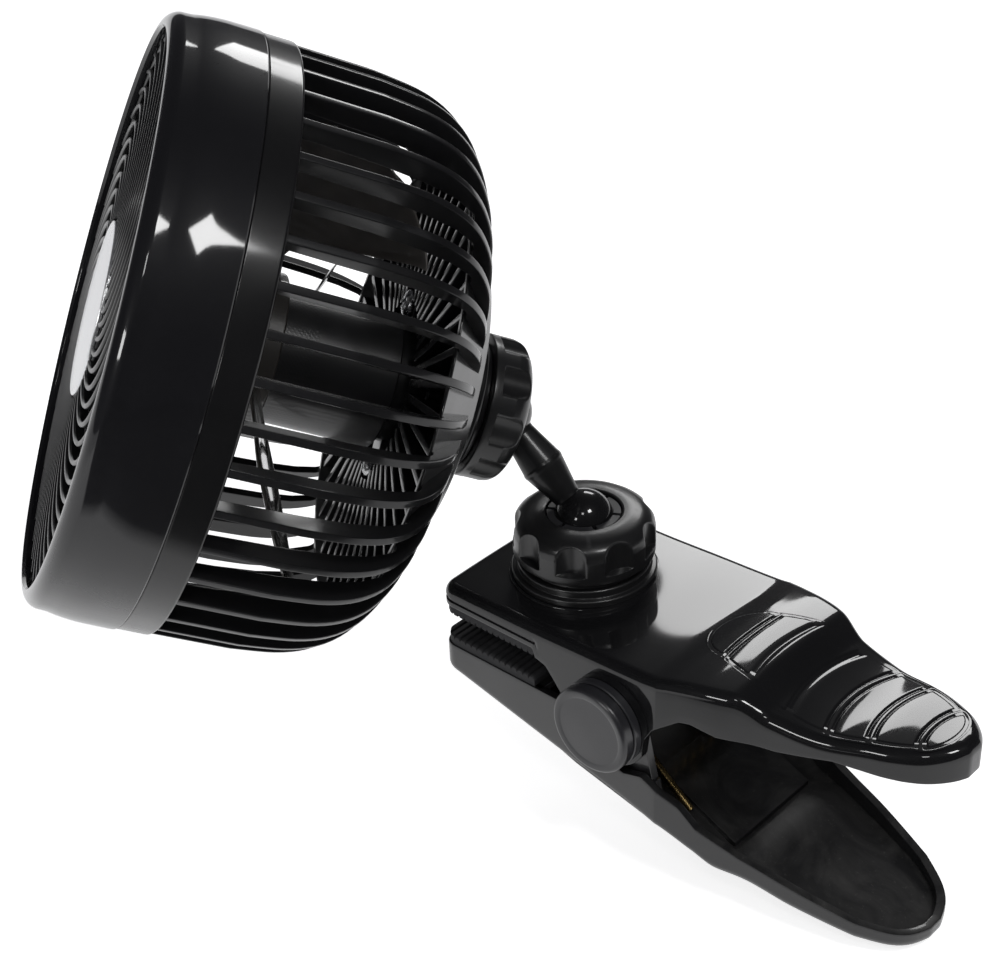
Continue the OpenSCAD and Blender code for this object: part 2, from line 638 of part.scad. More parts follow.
// Torsion spring: one unbroken tube of wire round the pin with two legs
module torsion_spring() {
    coil_r = 8.2;
    half_len = 19.6;
    steps = 75;
    start = 200;
    sweep = 360 * turns + 121.2;
    // Coil points in the pin's frame: z along the pin, x down, y along the clamp
    function coil(i) = let (a = start + sweep * i / steps)
        [coil_r * cos(a), coil_r * sin(a), half_len * (2 * i / steps - 1)];
    first = coil(0);
    last = coil(steps);
    t0 = [sin(start), -cos(start), 0];
    a1 = start + sweep;
    t1 = [-sin(a1), cos(a1), 0];
    leg0 = [for (k = [5:-1:1]) first + t0 * k * 6.3];
    leg1 = [for (k = [1:5]) last + t1 * k * 6.7];
    path = concat(leg0, [for (i = [0:steps]) coil(i)], leg1);
    n = len(path);
    sides = 6;
    function dir(i) = let (v = path[min(n - 1, i + 1)] - path[max(0, i - 1)]) v / norm(v);
    function ring_pt(i, j) =
        let (d = dir(i), u = cross(d, [0, 0, 1]), e = u / norm(u), g = cross(d, e),
             a = 360 * j / sides)
        path[i] + wire_d / 2 * (cos(a) * e + sin(a) * g);
    pts = [for (i = [0:n - 1]) for (j = [0:sides - 1]) ring_pt(i, j)];
    faces = concat(
        [[for (j = [0:sides - 1]) j]],
        [for (i = [0:n - 2]) for (j = [0:sides - 1]) let (k = (j + 1) % sides)
            for (f = [[i * sides + j, (i + 1) * sides + j, (i + 1) * sides + k],
                      [i * sides + j, (i + 1) * sides + k, i * sides + k]]) f],
        [[for (j = [sides - 1:-1:0]) (n - 1) * sides + j]]);
    near = min([for (i = [0:n - 7]) for (j = [i + 6:n - 1]) norm(path[i] - path[j])]);
    echo(spring_least_gap = near - wire_d, spring_pin_gap = coil_r - wire_d / 2 - pin_r);
    color(gold) at_pivot() polyhedron(points = pts, faces = faces, convexity = 10);
}

front_bezel();
front_grille();
centre_badge();
rear_cage();
motor_pod();
pod_screws();
motor_can();
motor_end_cap();
front_bush();
rear_bush();
motor_shaft();
rotor_core();
fan_blade();
head_ball_seat();
head_ring_nut();
link_arm();
base_ball_seat();
base_ring_nut();
base_socket();
socket_screws();
upper_jaw();
upper_pad();
lower_jaw();
lower_pad();
pivot_pin();
pivot_cap_left();
pivot_cap_right();
torsion_spring();
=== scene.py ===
import math
import bpy
import bmesh
from mathutils import Matrix, Vector


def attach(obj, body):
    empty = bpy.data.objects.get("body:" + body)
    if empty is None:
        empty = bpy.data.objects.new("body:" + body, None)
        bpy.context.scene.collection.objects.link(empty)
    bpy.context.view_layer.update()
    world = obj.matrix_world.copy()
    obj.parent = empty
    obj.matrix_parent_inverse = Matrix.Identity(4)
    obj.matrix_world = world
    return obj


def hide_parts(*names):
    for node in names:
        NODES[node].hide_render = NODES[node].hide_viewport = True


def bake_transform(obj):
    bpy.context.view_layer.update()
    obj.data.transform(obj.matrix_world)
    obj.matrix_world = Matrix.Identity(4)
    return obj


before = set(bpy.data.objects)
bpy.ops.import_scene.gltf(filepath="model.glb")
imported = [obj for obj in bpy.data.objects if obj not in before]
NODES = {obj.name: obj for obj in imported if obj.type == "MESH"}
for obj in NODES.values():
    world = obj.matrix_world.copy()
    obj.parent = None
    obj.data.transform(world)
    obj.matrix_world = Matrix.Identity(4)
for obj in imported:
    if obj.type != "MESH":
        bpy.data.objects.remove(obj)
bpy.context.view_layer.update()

D = math.radians

# Sizes in millimetres, the same named values as the part's source.
ARM_LIFT, ARM_TURN, HEAD_TILT, HEAD_TURN = 48.0, 13.3, 22.2, 51.2
HEAD_R, SEAM_Z, BAND_H, SHELL_T, BEZEL_H, LIP_R = 80.0, 90.9, 9.1, 2.6, 23.8, 74.1
RIBS, RIB_T, RIB_PHASE, BADGE_R, DISH, BAR_SWEEP = 44, 2.2, 3.68, 23.9, 1.3, 60.0
POD_R, SHAFT_R, TIP_R, BLADES, PITCH, BLADE_Z = 18.5, 1.6, 62.2, 3, 0.48, 69.5
FAN_PHASE, CUP_R = -6.0, 21.4
BALL_R, ARM_LEN, BALL_Z, NUT_R, NUT_H, NUT_GRIPS, NUT_OPEN = 8.56, 37.8, 27.0, 20.1, 9.45, 9, 10.7
HALF_W, WALL, PAD_T, MOUTH, PIVOT_Y, PIVOT_Z, PIN_R = 30.9, 2.6, 3.0, 7.2, 33.1, -8.5, 4.0
CAP_R, CAP_H, WIRE, TURNS = 12.8, 6.9, 2.4, 9
LIP_Z, BAND_Z = SEAM_Z + BEZEL_H, SEAM_Z - BAND_H
BOWL_RIM, BOWL_BACK, LUG_R, LUG_A, LUG_Z = 33.9, 18.9, 22.2, 115.7, 29.0
POD_FRONT, POD_REAR, THREAD_R = 70.9, 33.9, 16.5
NOSE, TIP, LOW_TIP, PAD_LEN = -28.0, 126.0, 120.5, 35.0
IN_EAR = HALF_W - WALL - 0.3
FLOOR_Z = -57.2

HEAD_BALL = Vector((ARM_LEN * math.cos(D(ARM_LIFT)) * math.sin(D(ARM_TURN)),
                    -ARM_LEN * math.cos(D(ARM_LIFT)) * math.cos(D(ARM_TURN)),
                    BALL_Z + ARM_LEN * math.sin(D(ARM_LIFT))))


def place(at, *turns):
    """Frame at a point in mm, turned by (degrees, axis) in order."""
    m = Matrix.Translation(Vector(at) * 0.001)
    for angle, axis in turns:
        m = m @ Matrix.Rotation(D(angle), 4, axis)
    return m


WORLD = Matrix.Identity(4)
HEAD = place(HEAD_BALL, (HEAD_TURN, "Z"), (90 - HEAD_TILT, "X"))
ARM = place((0, 0, BALL_Z), (ARM_TURN, "Z"), (90 - ARM_LIFT, "X"))
BASE = place((0, 0, BALL_Z), (180, "X"))
PIVOT = place((0, PIVOT_Y, PIVOT_Z), (90, "Y"))


# ---------------------------------------------------------------- materials
def nodes_of(name):
    mat = bpy.data.materials.new(name)
    mat.use_nodes = True
    tree = mat.node_tree
    return mat, tree, tree.nodes["Principled BSDF"]


def add(tree, kind, links=(), **values):
    """A new node. links: (input, what feeds it), where a plain value sets the input."""
    node = tree.nodes.new(kind)
    for key, value in values.items():
        if key in node.inputs.keys():
            node.inputs[key].default_value = value
        else:
            setattr(node, key, value)
    for key, source in links:
        if isinstance(source, bpy.types.NodeSocket):
            tree.links.new(source, node.inputs[key])
        else:
            node.inputs[key].default_value = source
    return node


def coords(tree, scale=(1, 1, 1), at=None):
    """Object coordinates, in the row frame, or in the frame of at; then stretched."""
    last = add(tree, "ShaderNodeTexCoord").outputs["Object"]
    if at is not None:
        own = add(tree, "ShaderNodeMapping", [("Vector", last)], vector_type="TEXTURE",
                  Location=at.to_translation(), Rotation=at.to_euler("XYZ"))
        last = own.outputs["Vector"]
    if scale != (1, 1, 1):
        last = add(tree, "ShaderNodeMapping", [("Vector", last)], Scale=scale).outputs["Vector"]
    return last


def noise(tree, vector, scale, detail=3.0, rough=0.5):
    return add(tree, "ShaderNodeTexNoise", [("Vector", vector)], Scale=scale, Detail=detail,
               Roughness=rough).outputs["Fac"]


def remap(tree, value, a, b, lo, hi):
    return add(tree, "ShaderNodeMapRange",
               [("Value", value), ("From Min", a), ("From Max", b), ("To Min", lo),
                ("To Max", hi)]).outputs["Result"]


def math_node(tree, op, a, b=0.0):
    return add(tree, "ShaderNodeMath", [(0, a), (1, b)], operation=op).outputs[0]


def times(tree, a, b):
    return math_node(tree, "MULTIPLY", a, b)


def plus(tree, a, b):
    return math_node(tree, "ADD", a, b)


def parts_of(tree, vector):
    """The x, y and z sockets of a vector."""
    return add(tree, "ShaderNodeSeparateXYZ", [(0, vector)]).outputs


def blend_colours(tree, fac, a, b):
    """a where fac is 0, b where it is 1."""
    return add(tree, "ShaderNodeMix", [(0, fac), (6, a), (7, b)], data_type="RGBA").outputs[2]


def tint(tree, fac, stops):
    ramp = add(tree, "ShaderNodeValToRGB")
    while len(ramp.color_ramp.elements) < len(stops):
        ramp.color_ramp.elements.new(0.5)
    for element, (pos, colour) in zip(ramp.color_ramp.elements, stops):
        element.position = pos
        element.color = (*colour, 1)
    tree.links.new(fac, ramp.inputs["Fac"])
    return ramp.outputs["Color"]


def bumps(tree, shader, layers):
    """layers: (height output, strength, distance in metres), stacked on what is there."""
    links = shader.inputs["Normal"].links
    last = links[0].from_socket if links else None
    for height, strength, distance in layers:
        below = [("Normal", last)] if last is not None else []
        last = add(tree, "ShaderNodeBump", [("Height", height)] + below, Strength=strength,
                   Distance=distance).outputs["Normal"]
    tree.links.new(last, shader.inputs["Normal"])


def shade(c, k):
    return tuple(min(1.0, v * k) for v in c)


def plastic(name, base, rough, spread=0.06, grain=0.25, grain_scale=1800.0, peel=0.1,
            wear=0.35, spec=0.5, coat=0.0, skin=0.05):
    """Moulded plastic: flow marks, patchy gloss, fine rubs, spark grain and worn edges."""
    mat, tree, bsdf = nodes_of(name)
    v = coords(tree)
    flow = noise(tree, v, 38.0, 4.0, 0.55)
    colour = tint(tree, flow, [(0.25, shade(base, 0.86)), (0.55, base), (0.8, shade(base, 1.22))])
    geo = add(tree, "ShaderNodeNewGeometry")
    edge = remap(tree, geo.outputs["Pointiness"], 0.53, 0.62, 0.0, wear)
    broken = times(tree, edge, noise(tree, v, 420.0, 5.0, 0.7))
    tree.links.new(blend_colours(tree, broken, colour, (*shade(base, 3.2), 1)),
                   bsdf.inputs["Base Color"])
    patch = remap(tree, noise(tree, v, 55.0, 3.0, 0.6), 0.3, 0.75, rough - spread, rough + spread)
    rub = noise(tree, coords(tree, (260, 1400, 900)), 1.0, 2.0, 0.6)
    rubs = remap(tree, rub, 0.62, 0.75, 0.0, spread * 1.4)
    tree.links.new(plus(tree, plus(tree, patch, rubs), times(tree, broken, 0.4)),
                   bsdf.inputs["Roughness"])
    bsdf.inputs["Specular IOR Level"].default_value = spec
    bsdf.inputs["Coat Weight"].default_value = coat
    bsdf.inputs["Coat Roughness"].default_value = skin
    bumps(tree, bsdf, [(noise(tree, v, grain_scale, 2.0, 0.5), grain, 0.00004),
                       (noise(tree, v, 160.0, 2.0, 0.4), peel, 0.00006)])
    return mat


def metal(name, base, rough, stretch=(1, 1, 1), scale=600.0, stain=None, grain=0.2):
    """Drawn or plated metal: stretched polish lines, patchy gloss and faint staining."""
    mat, tree, bsdf = nodes_of(name)
    v = coords(tree)
    lines = noise(tree, coords(tree, stretch), scale, 4.0, 0.6)
    cloud = noise(tree, v, 70.0, 4.0, 0.6)
    stain = stain or shade(base, 0.72)
    colour = tint(tree, cloud, [(0.28, stain), (0.5, base), (0.8, shade(base, 1.12))])
    tree.links.new(colour, bsdf.inputs["Base Color"])
    bsdf.inputs["Metallic"].default_value = 1.0
    tree.links.new(plus(tree, remap(tree, lines, 0.3, 0.7, rough - 0.07, rough + 0.07),
                        remap(tree, cloud, 0.3, 0.8, 0.0, 0.1)), bsdf.inputs["Roughness"])
    bumps(tree, bsdf, [(lines, grain, 0.00003)])
    return mat


def rubber(name, base):
    """Matt moulded rubber with talc in the pores and scuffed high spots."""
    mat, tree, bsdf = nodes_of(name)
    v = coords(tree)
    cloud = noise(tree, v, 90.0, 5.0, 0.65)
    colour = tint(tree, cloud, [(0.3, shade(base, 0.7)), (0.55, base), (0.8, shade(base, 1.6))])
    tree.links.new(colour, bsdf.inputs["Base Color"])
    tree.links.new(remap(tree, cloud, 0.3, 0.8, 0.55, 0.85), bsdf.inputs["Roughness"])
    bsdf.inputs["Specular IOR Level"].default_value = 0.3
    pores = add(tree, "ShaderNodeTexVoronoi", [("Vector", v)], Scale=1500.0)
    bumps(tree, bsdf, [(noise(tree, v, 1100.0, 3.0, 0.6), 0.5, 0.00006),
                       (pores.outputs["Distance"], 0.25, 0.00004)])
    return mat


def badge_material():
    """Satin silver disc: fine turned rings about its own axis, soft staining and tiny rubs."""
    mat, tree, bsdf = nodes_of("silver_disc_look")
    v = coords(tree, at=HEAD)
    x, y, _ = parts_of(tree, v)
    r = math_node(tree, "SQRT", plus(tree, times(tree, x, x), times(tree, y, y)))
    ring = add(tree, "ShaderNodeCombineXYZ", [(0, r)])
    turned = noise(tree, ring.outputs[0], 2600.0, 3.0, 0.6)
    cloud = noise(tree, v, 60.0, 4.0, 0.6)
    tree.links.new(tint(tree, cloud, [(0.3, (0.80, 0.81, 0.83)), (0.7, (0.93, 0.935, 0.94))]),
                   bsdf.inputs["Base Color"])
    bsdf.inputs["Metallic"].default_value = 0.85
    tree.links.new(plus(tree, remap(tree, turned, 0.3, 0.7, 0.18, 0.28),
                        remap(tree, cloud, 0.3, 0.8, 0.0, 0.06)), bsdf.inputs["Roughness"])
    bumps(tree, bsdf, [(turned, 0.12, 0.00003)])
    return mat


def dusty(name, base):
    """Gloss plastic with pale dust and swirls lying on the faces that look up."""
    mat = plastic(name, base, 0.38, grain=0.1, peel=0.06, wear=0.3, spec=0.4, coat=0.7, skin=0.12)
    tree = mat.node_tree
    bsdf = tree.nodes["Principled BSDF"]
    v = coords(tree)
    geo = add(tree, "ShaderNodeNewGeometry")
    up = remap(tree, parts_of(tree, geo.outputs["Normal"])[2], 0.80, 0.93, 0.0, 1.0)
    low = remap(tree, parts_of(tree, v)[2], -0.028, -0.034, 0.0, 1.0)
    swirl = add(tree, "ShaderNodeTexNoise", [("Vector", v)], Scale=46.0, Detail=7.0,
                Roughness=0.62, Distortion=1.4)
    cloud = remap(tree, swirl.outputs[0], 0.40, 0.72, 0.08, 1.0)
    specks = remap(tree, noise(tree, v, 900.0, 3.0, 0.7), 0.62, 0.72, 0.0, 0.6)
    dust = times(tree, times(tree, plus(tree, cloud, specks), up), low)
    old = bsdf.inputs["Base Color"].links[0].from_socket
    tree.links.new(blend_colours(tree, times(tree, dust, 0.55), old, (0.085, 0.083, 0.080, 1)),
                   bsdf.inputs["Base Color"])
    tree.links.new(remap(tree, dust, 0.0, 1.0, 0.75, 0.15), bsdf.inputs["Coat Weight"])
    return mat


def knurled(name, base, rough):
    """Satin plastic whose front band carries a fine moulded crosshatch."""
    mat = plastic(name, base, rough, grain=0.2, wear=0.3, coat=0.8, skin=0.14)
    tree = mat.node_tree
    bsdf = tree.nodes["Principled BSDF"]
    x, y, z = parts_of(tree, coords(tree, at=HEAD))
    turns = times(tree, math_node(tree, "ARCTAN2", y, x), 90.0)
    rise = times(tree, z, 4800.0)
    a = math_node(tree, "SINE", plus(tree, turns, rise))
    b = math_node(tree, "SINE", math_node(tree, "SUBTRACT", turns, rise))
    hatch = times(tree, math_node(tree, "MAXIMUM", a, b),
                  remap(tree, z, 0.0575, 0.0585, 0.0, 1.0))
    bumps(tree, bsdf, [(hatch, 0.12, 0.00008)])
    return mat


BLACK = (0.0075, 0.0075, 0.0082)
GLOSS = plastic("gloss_black_look", BLACK, 0.40, grain=0.05, peel=0.03, wear=0.2, spec=0.06,
                coat=1.0)
BEZEL = plastic("bezel_gloss_look", (0.0085, 0.0085, 0.0100), 0.42, grain=0.05, peel=0.035,
                wear=0.2, spec=0.08, coat=1.0, skin=0.06)
CAGE = plastic("cage_gloss_look", (0.0070, 0.0070, 0.0076), 0.36, grain=0.12, peel=0.06,
               wear=0.8, spec=0.15, coat=0.8, skin=0.11)
BLADE = plastic("blade_gloss_look", (0.030, 0.027, 0.024), 0.34, grain=0.06, peel=0.04,
                wear=1.0, coat=1.0, skin=0.06)
SATIN = plastic("satin_black_look", (0.0085, 0.0085, 0.0090), 0.36, grain=0.3, wear=0.5,
                spec=0.3, coat=0.3, skin=0.16)
NUT = plastic("nut_satin_look", (0.0100, 0.0100, 0.0105), 0.36, grain=0.4, grain_scale=1300.0,
              wear=0.5, coat=0.35, skin=0.16)
CAPM = plastic("cap_satin_look", (0.018, 0.018, 0.021), 0.40, grain=0.45, grain_scale=1500.0,
               wear=0.5, coat=0.5, skin=0.15)
GREY = plastic("grey_plastic_look", (0.020, 0.020, 0.022), 0.40, grain=0.4, wear=0.3)
POD = knurled("pod_satin_look", (0.0080, 0.0080, 0.0088), 0.34)
TRAY = dusty("tray_look", BLACK)
RUBBER = rubber("pad_rubber_look", (0.030, 0.030, 0.032))
BADGE = badge_material()
STEEL = metal("steel_look", (0.62, 0.63, 0.65), 0.28, stretch=(1, 1, 9))
SCREW = metal("screw_plate_look", (0.72, 0.73, 0.74), 0.20, scale=900.0)
SPRING = metal("spring_wire_look", (0.36, 0.26, 0.11), 0.24, stretch=(1, 1, 1), scale=900.0,
               stain=(0.10, 0.065, 0.025))
BRONZE = metal("bronze_look", (0.55, 0.38, 0.20), 0.45, scale=1400.0, stain=(0.30, 0.18, 0.08),
               grain=0.5)
ROTOR = metal("rotor_look", (0.60, 0.30, 0.16), 0.34, stretch=(1, 1, 40), scale=900.0,
              stain=(0.30, 0.13, 0.06), grain=0.8)


# ---------------------------------------------------------------- mesh tools
class Build:
    """Collects vertices (mm, in the piece's own frame) and faces."""

    def __init__(self):
        self.v, self.f, self.m = [], [], []

    def put(self, verts, faces, slot=0):
        base = len(self.v)
        self.v += [tuple(p) for p in verts]
        self.f += [tuple(base + i for i in face) for face in faces]
        self.m += [slot] * len(faces)

    def piece(self, name, at, body, slot, mats, replaces=(), weld=0.0005, flat=35.0):
        mesh = bpy.data.meshes.new(name)
        mesh.from_pydata([tuple(at @ (Vector(p) * 0.001)) for p in self.v], [], self.f)
        bm = bmesh.new()
        bm.from_mesh(mesh)
        for face, m in zip(bm.faces, self.m):
            face.material_index = m
        bmesh.ops.remove_doubles(bm, verts=bm.verts, dist=weld * 0.001)
        bmesh.ops.dissolve_degenerate(bm, edges=bm.edges, dist=1e-7)
        bmesh.ops.recalc_face_normals(bm, faces=bm.faces)
        for face in bm.faces:
            face.smooth = True
        for e in bm.edges:
            if len(e.link_faces) == 2 and e.calc_face_angle(0.0) > D(flat):
                e.smooth = False
        bm.to_mesh(mesh)
        bm.free()
        obj = bpy.data.objects.new(name, mesh)
        bpy.context.scene.collection.objects.link(obj)
        for m in mats if isinstance(mats, (list, tuple)) else [mats]:
            mesh.materials.append(m)
        wn = obj.modifiers.new("weighted", "WEIGHTED_NORMAL")
        wn.keep_sharp = True
        wn.weight = 60
        if isinstance(body, tuple):
            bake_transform(obj)
        else:
            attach(obj, body)
        if replaces:
            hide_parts(*replaces)
        return obj


def fillet(pts, radii, seg=5, closed=True):
    """Round the corners of a profile. radii: one number or one per point."""
    if isinstance(radii, (int, float)):
        radii = [radii] * len(pts)
    out, n = [], len(pts)
    for i, (p, r) in enumerate(zip(pts, radii)):
        if r <= 0 or (not closed and i in (0, n - 1)):
            out.append(tuple(p))
            continue
        p, a, b = Vector(p), Vector(pts[i - 1]), Vector(pts[(i + 1) % n])
        u, w = a - p, b - p
        lu, lw = u.length, w.length
        if lu < 1e-6 or lw < 1e-6:
            out.append(tuple(p))
            continue
        u, w = u / lu, w / lw
        ang = math.acos(max(-1, min(1, u.dot(w))))
        if ang > math.pi - 0.02 or ang < 0.02:
            out.append(tuple(p))
            continue
        t = min(r / math.tan(ang / 2), 0.48 * lu, 0.48 * lw)
        rr = t * math.tan(ang / 2)
        c = p + (u + w).normalized() * (rr / math.sin(ang / 2))
        s, e = p + u * t - c, p + w * t - c
        sweep = math.pi - ang
        for k in range(seg + 1):
            q = k / seg
            f0 = math.sin((1 - q) * sweep) / math.sin(sweep)
            f1 = math.sin(q * sweep) / math.sin(sweep)
            d = s * f0 + e * f1
            out.append(tuple(c + d))
    return out


def smooth_line(pts, step):
    """Points along a Catmull-Rom curve through pts, about step apart."""
    out = []
    P = [Vector(p) for p in pts]
    for i in range(len(P) - 1):
        a, b, c, d = P[max(0, i - 1)], P[i], P[i + 1], P[min(len(P) - 1, i + 2)]
        n = max(1, int((c - b).length / step))
        for k in range(n):
            t = k / n
            out.append(0.5 * ((2 * b) + (c - a) * t + (2 * a - 5 * b + 4 * c - d) * t * t
                              + (3 * b - a - 3 * c + d) * t ** 3))
    out.append(P[-1])
    return [tuple(p) for p in out]


def lathe(build, profile, n=192, closed=True, slot=0, dr=None):
    """Turn a profile of (r, z) about Z. dr(angle, r, z) may change the radius."""
    verts, faces, m = [], [], len(profile)
    for i in range(n):
        a = 2 * math.pi * i / n
        for r, z in profile:
            q = dr(a, r, z) if dr else r
            verts.append((q * math.cos(a), q * math.sin(a), z))
    for i in range(n):
        j = (i + 1) % n
        for k in range(m if closed else m - 1):
            l = (k + 1) % m
            faces.append((i * m + k, j * m + k, j * m + l, i * m + l))
    build.put(verts, faces, slot)


def band(build, r0, r1, z0, z1, radii=0.3, seg=3, n=128):
    """A turned ring of rectangular section with rounded corners."""
    lathe(build, fillet([(r0, z0), (r1, z0), (r1, z1), (r0, z1)], radii, seg), n)


def grid(rows, cols, wrap=True, base=0):
    """Quads between rows of cols points each. wrap joins a row's last point to its first."""
    faces = []
    for k in range(base, base + (rows - 1) * cols, cols):
        for i in range(cols if wrap else cols - 1):
            j = (i + 1) % cols
            faces.append((k + i, k + j, k + cols + j, k + cols + i))
    return faces


def lids(rows, cols):
    """The two faces that close a grid's first and last row."""
    last = (rows - 1) * cols
    return [tuple(range(cols))[::-1], tuple(range(last, last + cols))]


def slab(rows, cols):
    """Faces of two grids, one after the other, joined round their edges."""
    half, last = rows * cols, (rows - 1) * cols
    faces = grid(rows, cols, False) + grid(rows, cols, False, half)
    sides = [(a, cols) for k in range(0, last, cols) for a in (k, k + cols - 1)]
    sides += [(a, 1) for j in range(cols - 1) for a in (j, last + j)]
    return faces + [(a, a + d, half + a + d, half + a) for a, d in sides]


def spin(verts, angle, out=0.0):
    """Points moved out along X, then turned about Z."""
    c, s = math.cos(D(angle)), math.sin(D(angle))
    return [(c * (x + out) - s * y, s * (x + out) + c * y, z) for x, y, z in verts]


def prism(build, outline, z0, z1, bevel=0.35, move=None):
    """A plate of a 2D outline with rounded edges. move(x, y, z) places each point."""
    move = move or (lambda x, y, z: (x, y, z))
    n = len(outline)
    area = sum(outline[i - 1][0] * outline[i][1] - outline[i][0] * outline[i - 1][1]
               for i in range(n))
    pts = outline if area > 0 else outline[::-1]
    nor = []
    for i in range(n):
        a, b, c = Vector(pts[i - 1]), Vector(pts[i]), Vector(pts[(i + 1) % n])
        e0, e1 = (b - a).normalized(), (c - b).normalized()
        v = Vector((e0.y + e1.y, -e0.x - e1.x))
        v = v / max(0.35, v.length_squared / 2)
        nor.append(v)
    h = z1 - z0
    rows = [(bevel, 0), (0.29 * bevel, 0.29 * bevel), (0, bevel),
            (0, h - bevel), (0.29 * bevel, h - 0.29 * bevel), (bevel, h)]
    verts = [move(p[0] - v[0] * inset, p[1] - v[1] * inset, z0 + z)
             for inset, z in rows for p, v in zip(pts, nor)]
    build.put(verts, grid(len(rows), n) + lids(len(rows), n))


def tube(build, path, radius, sides=12):
    """A round tube along a path of points with flat ends, frames carried along."""
    P = [Vector(p) for p in path]
    n = len(P)
    d0 = (P[1] - P[0]).normalized()
    u = d0.orthogonal().normalized()
    verts = []
    for i in range(n):
        d = (P[min(n - 1, i + 1)] - P[max(0, i - 1)]).normalized()
        u = (u - d * u.dot(d)).normalized()
        w = d.cross(u)
        for j in range(sides):
            a = 2 * math.pi * j / sides
            verts.append(P[i] + radius * (math.cos(a) * u + math.sin(a) * w))
    build.put(verts, grid(n, sides) + lids(n, sides))


def arc(cx, cy, r, a0, a1, n):
    return [(cx + r * math.cos(D(a0 + (a1 - a0) * i / n)),
             cy + r * math.sin(D(a0 + (a1 - a0) * i / n))) for i in range(n + 1)]


def line(pts, x):
    """Piecewise linear value of a (x, y) table."""
    if x <= pts[0][0]:
        return pts[0][1]
    for (x0, y0), (x1, y1) in zip(pts, pts[1:]):
        if x <= x1:
            return y0 + (y1 - y0) * (x - x0) / (x1 - x0)
    return pts[-1][1]


def curve(pts, x):
    """Smooth value of a (x, y) table: cubic pieces with limited slopes."""
    n = len(pts)
    if x <= pts[0][0]:
        return pts[0][1]
    if x >= pts[-1][0]:
        return pts[-1][1]
    d = [(pts[i + 1][1] - pts[i][1]) / (pts[i + 1][0] - pts[i][0]) for i in range(n - 1)]

    def slope(i):
        if i in (0, n - 1):
            return d[0] if i == 0 else d[-1]
        if d[i - 1] * d[i] <= 0:
            return 0.0
        return 2 * d[i - 1] * d[i] / (d[i - 1] + d[i])
    i = max(k for k in range(n - 1) if pts[k][0] <= x)
    h = pts[i + 1][0] - pts[i][0]
    t = (x - pts[i][0]) / h
    return ((2 * t ** 3 - 3 * t * t + 1) * pts[i][1] + (t ** 3 - 2 * t * t + t) * h * slope(i)
            + (3 * t * t - 2 * t ** 3) * pts[i + 1][1] + (t ** 3 - t * t) * h * slope(i + 1))


# ---------------------------------------------------------------- the head
def make_bezel():
    b = Build()
    outer = [(HEAD_R + 0.14, SEAM_Z + 0.35), (HEAD_R + 0.14, SEAM_Z + 5),
             (HEAD_R + 0.03, SEAM_Z + 10), (HEAD_R - 0.45, SEAM_Z + 14.5),
             (HEAD_R - 1.25, LIP_Z - 5.2)]
    lip = arc(HEAD_R - 5.34, LIP_Z - 4.23, 4.2, 8, 92, 12)
    inner = fillet([(LIP_R + 0.5, LIP_Z - 0.05), (LIP_R, LIP_Z - 0.9), (LIP_R, LIP_Z - 2.6),
                    (HEAD_R - SHELL_T - 1, LIP_Z - 5.5), (HEAD_R - SHELL_T, SEAM_Z + 0.35)],
                   0.5, 4, closed=False)
    foot = [(HEAD_R - SHELL_T + 0.35, SEAM_Z), (HEAD_R - 0.15, SEAM_Z)]
    lathe(b, smooth_line(outer, 1.2)[:-1] + lip + inner + foot, n=288)
    return b.piece("bezel_shell", HEAD, "head", "gloss_black", BEZEL, ["front_bezel"])


def span_at(r):
    return min(1.0, max(0.0, (r - BADGE_R) / (LIP_R - BADGE_R)))


def dish_z(r):
    return LIP_Z - 0.8 - DISH * span_at(r)


def bar_angle(r):
    return BAR_SWEEP * span_at(r) ** 1.3


def make_grille():
    b = Build()
    r_in, r_out, n = BADGE_R + 0.2, LIP_R - 1.2, 30
    mid = []
    for i in range(n + 1):
        r = r_in + (r_out - r_in) * (i / n) ** 1.15
        a = D(bar_angle(r))
        mid.append(Vector((r * math.cos(a), r * math.sin(a), dish_z(r))))
    section = fillet([(-0.75, 0), (-0.75, -3.0), (0.75, -3.0), (0.75, 0)],
                     [0.68, 0.25, 0.25, 0.68], 4)
    verts, k = [], len(section)
    for i, p in enumerate(mid):
        d = mid[min(n, i + 1)] - mid[max(0, i - 1)]
        side = Vector((-d.y, d.x, 0)).normalized()
        for u, w in section:
            verts.append(p + side * u + Vector((0, 0, w)))
    faces = grid(n + 1, k) + lids(n + 1, k)
    for i in range(RIBS):
        b.put(spin(verts, i * 360 / RIBS), faces)
    band(b, 6, BADGE_R + 1.3, LIP_Z - 4.4, LIP_Z - 1.6, [0.2, 0.3, 0.7, 0.2], 4, 160)
    band(b, LIP_R - 2.2, LIP_R - 0.3, LIP_Z - 7.6, LIP_Z - 2.7, [0.3, 0.2, 0.2, 0.8], 4, 240)
    band(b, LIP_R - 2.2, HEAD_R - SHELL_T - 1.2, LIP_Z - 9.6, LIP_Z - 6.6, 0, 0, 240)
    return b.piece("grille_bars", HEAD, "head", "satin_black", SATIN, ["front_grille"])


def make_badge():
    b = Build()
    z = LIP_Z
    prof = [(0, z - 5.5), (5.9, z - 5.5), (5.9, z - 1.6), (BADGE_R - 0.9, z - 1.6),
            (BADGE_R - 0.6, z - 1.3), (BADGE_R - 0.6, z - 0.75), (BADGE_R - 0.75, z - 0.45),
            (BADGE_R - 1.1, z - 0.3), (BADGE_R - 1.7, z - 0.28), (BADGE_R - 2.1, z - 0.42),
            (BADGE_R - 2.6, z - 0.5)]
    prof += [(r, z - 0.5 + 0.48 * (1 - (r / (BADGE_R - 2.6)) ** 2)) for r in (19, 16, 12, 8, 4, 0)]
    lathe(b, prof, n=160, closed=False)
    return b.piece("badge_disc", HEAD, "head", "silver_disc", BADGE, ["centre_badge"])


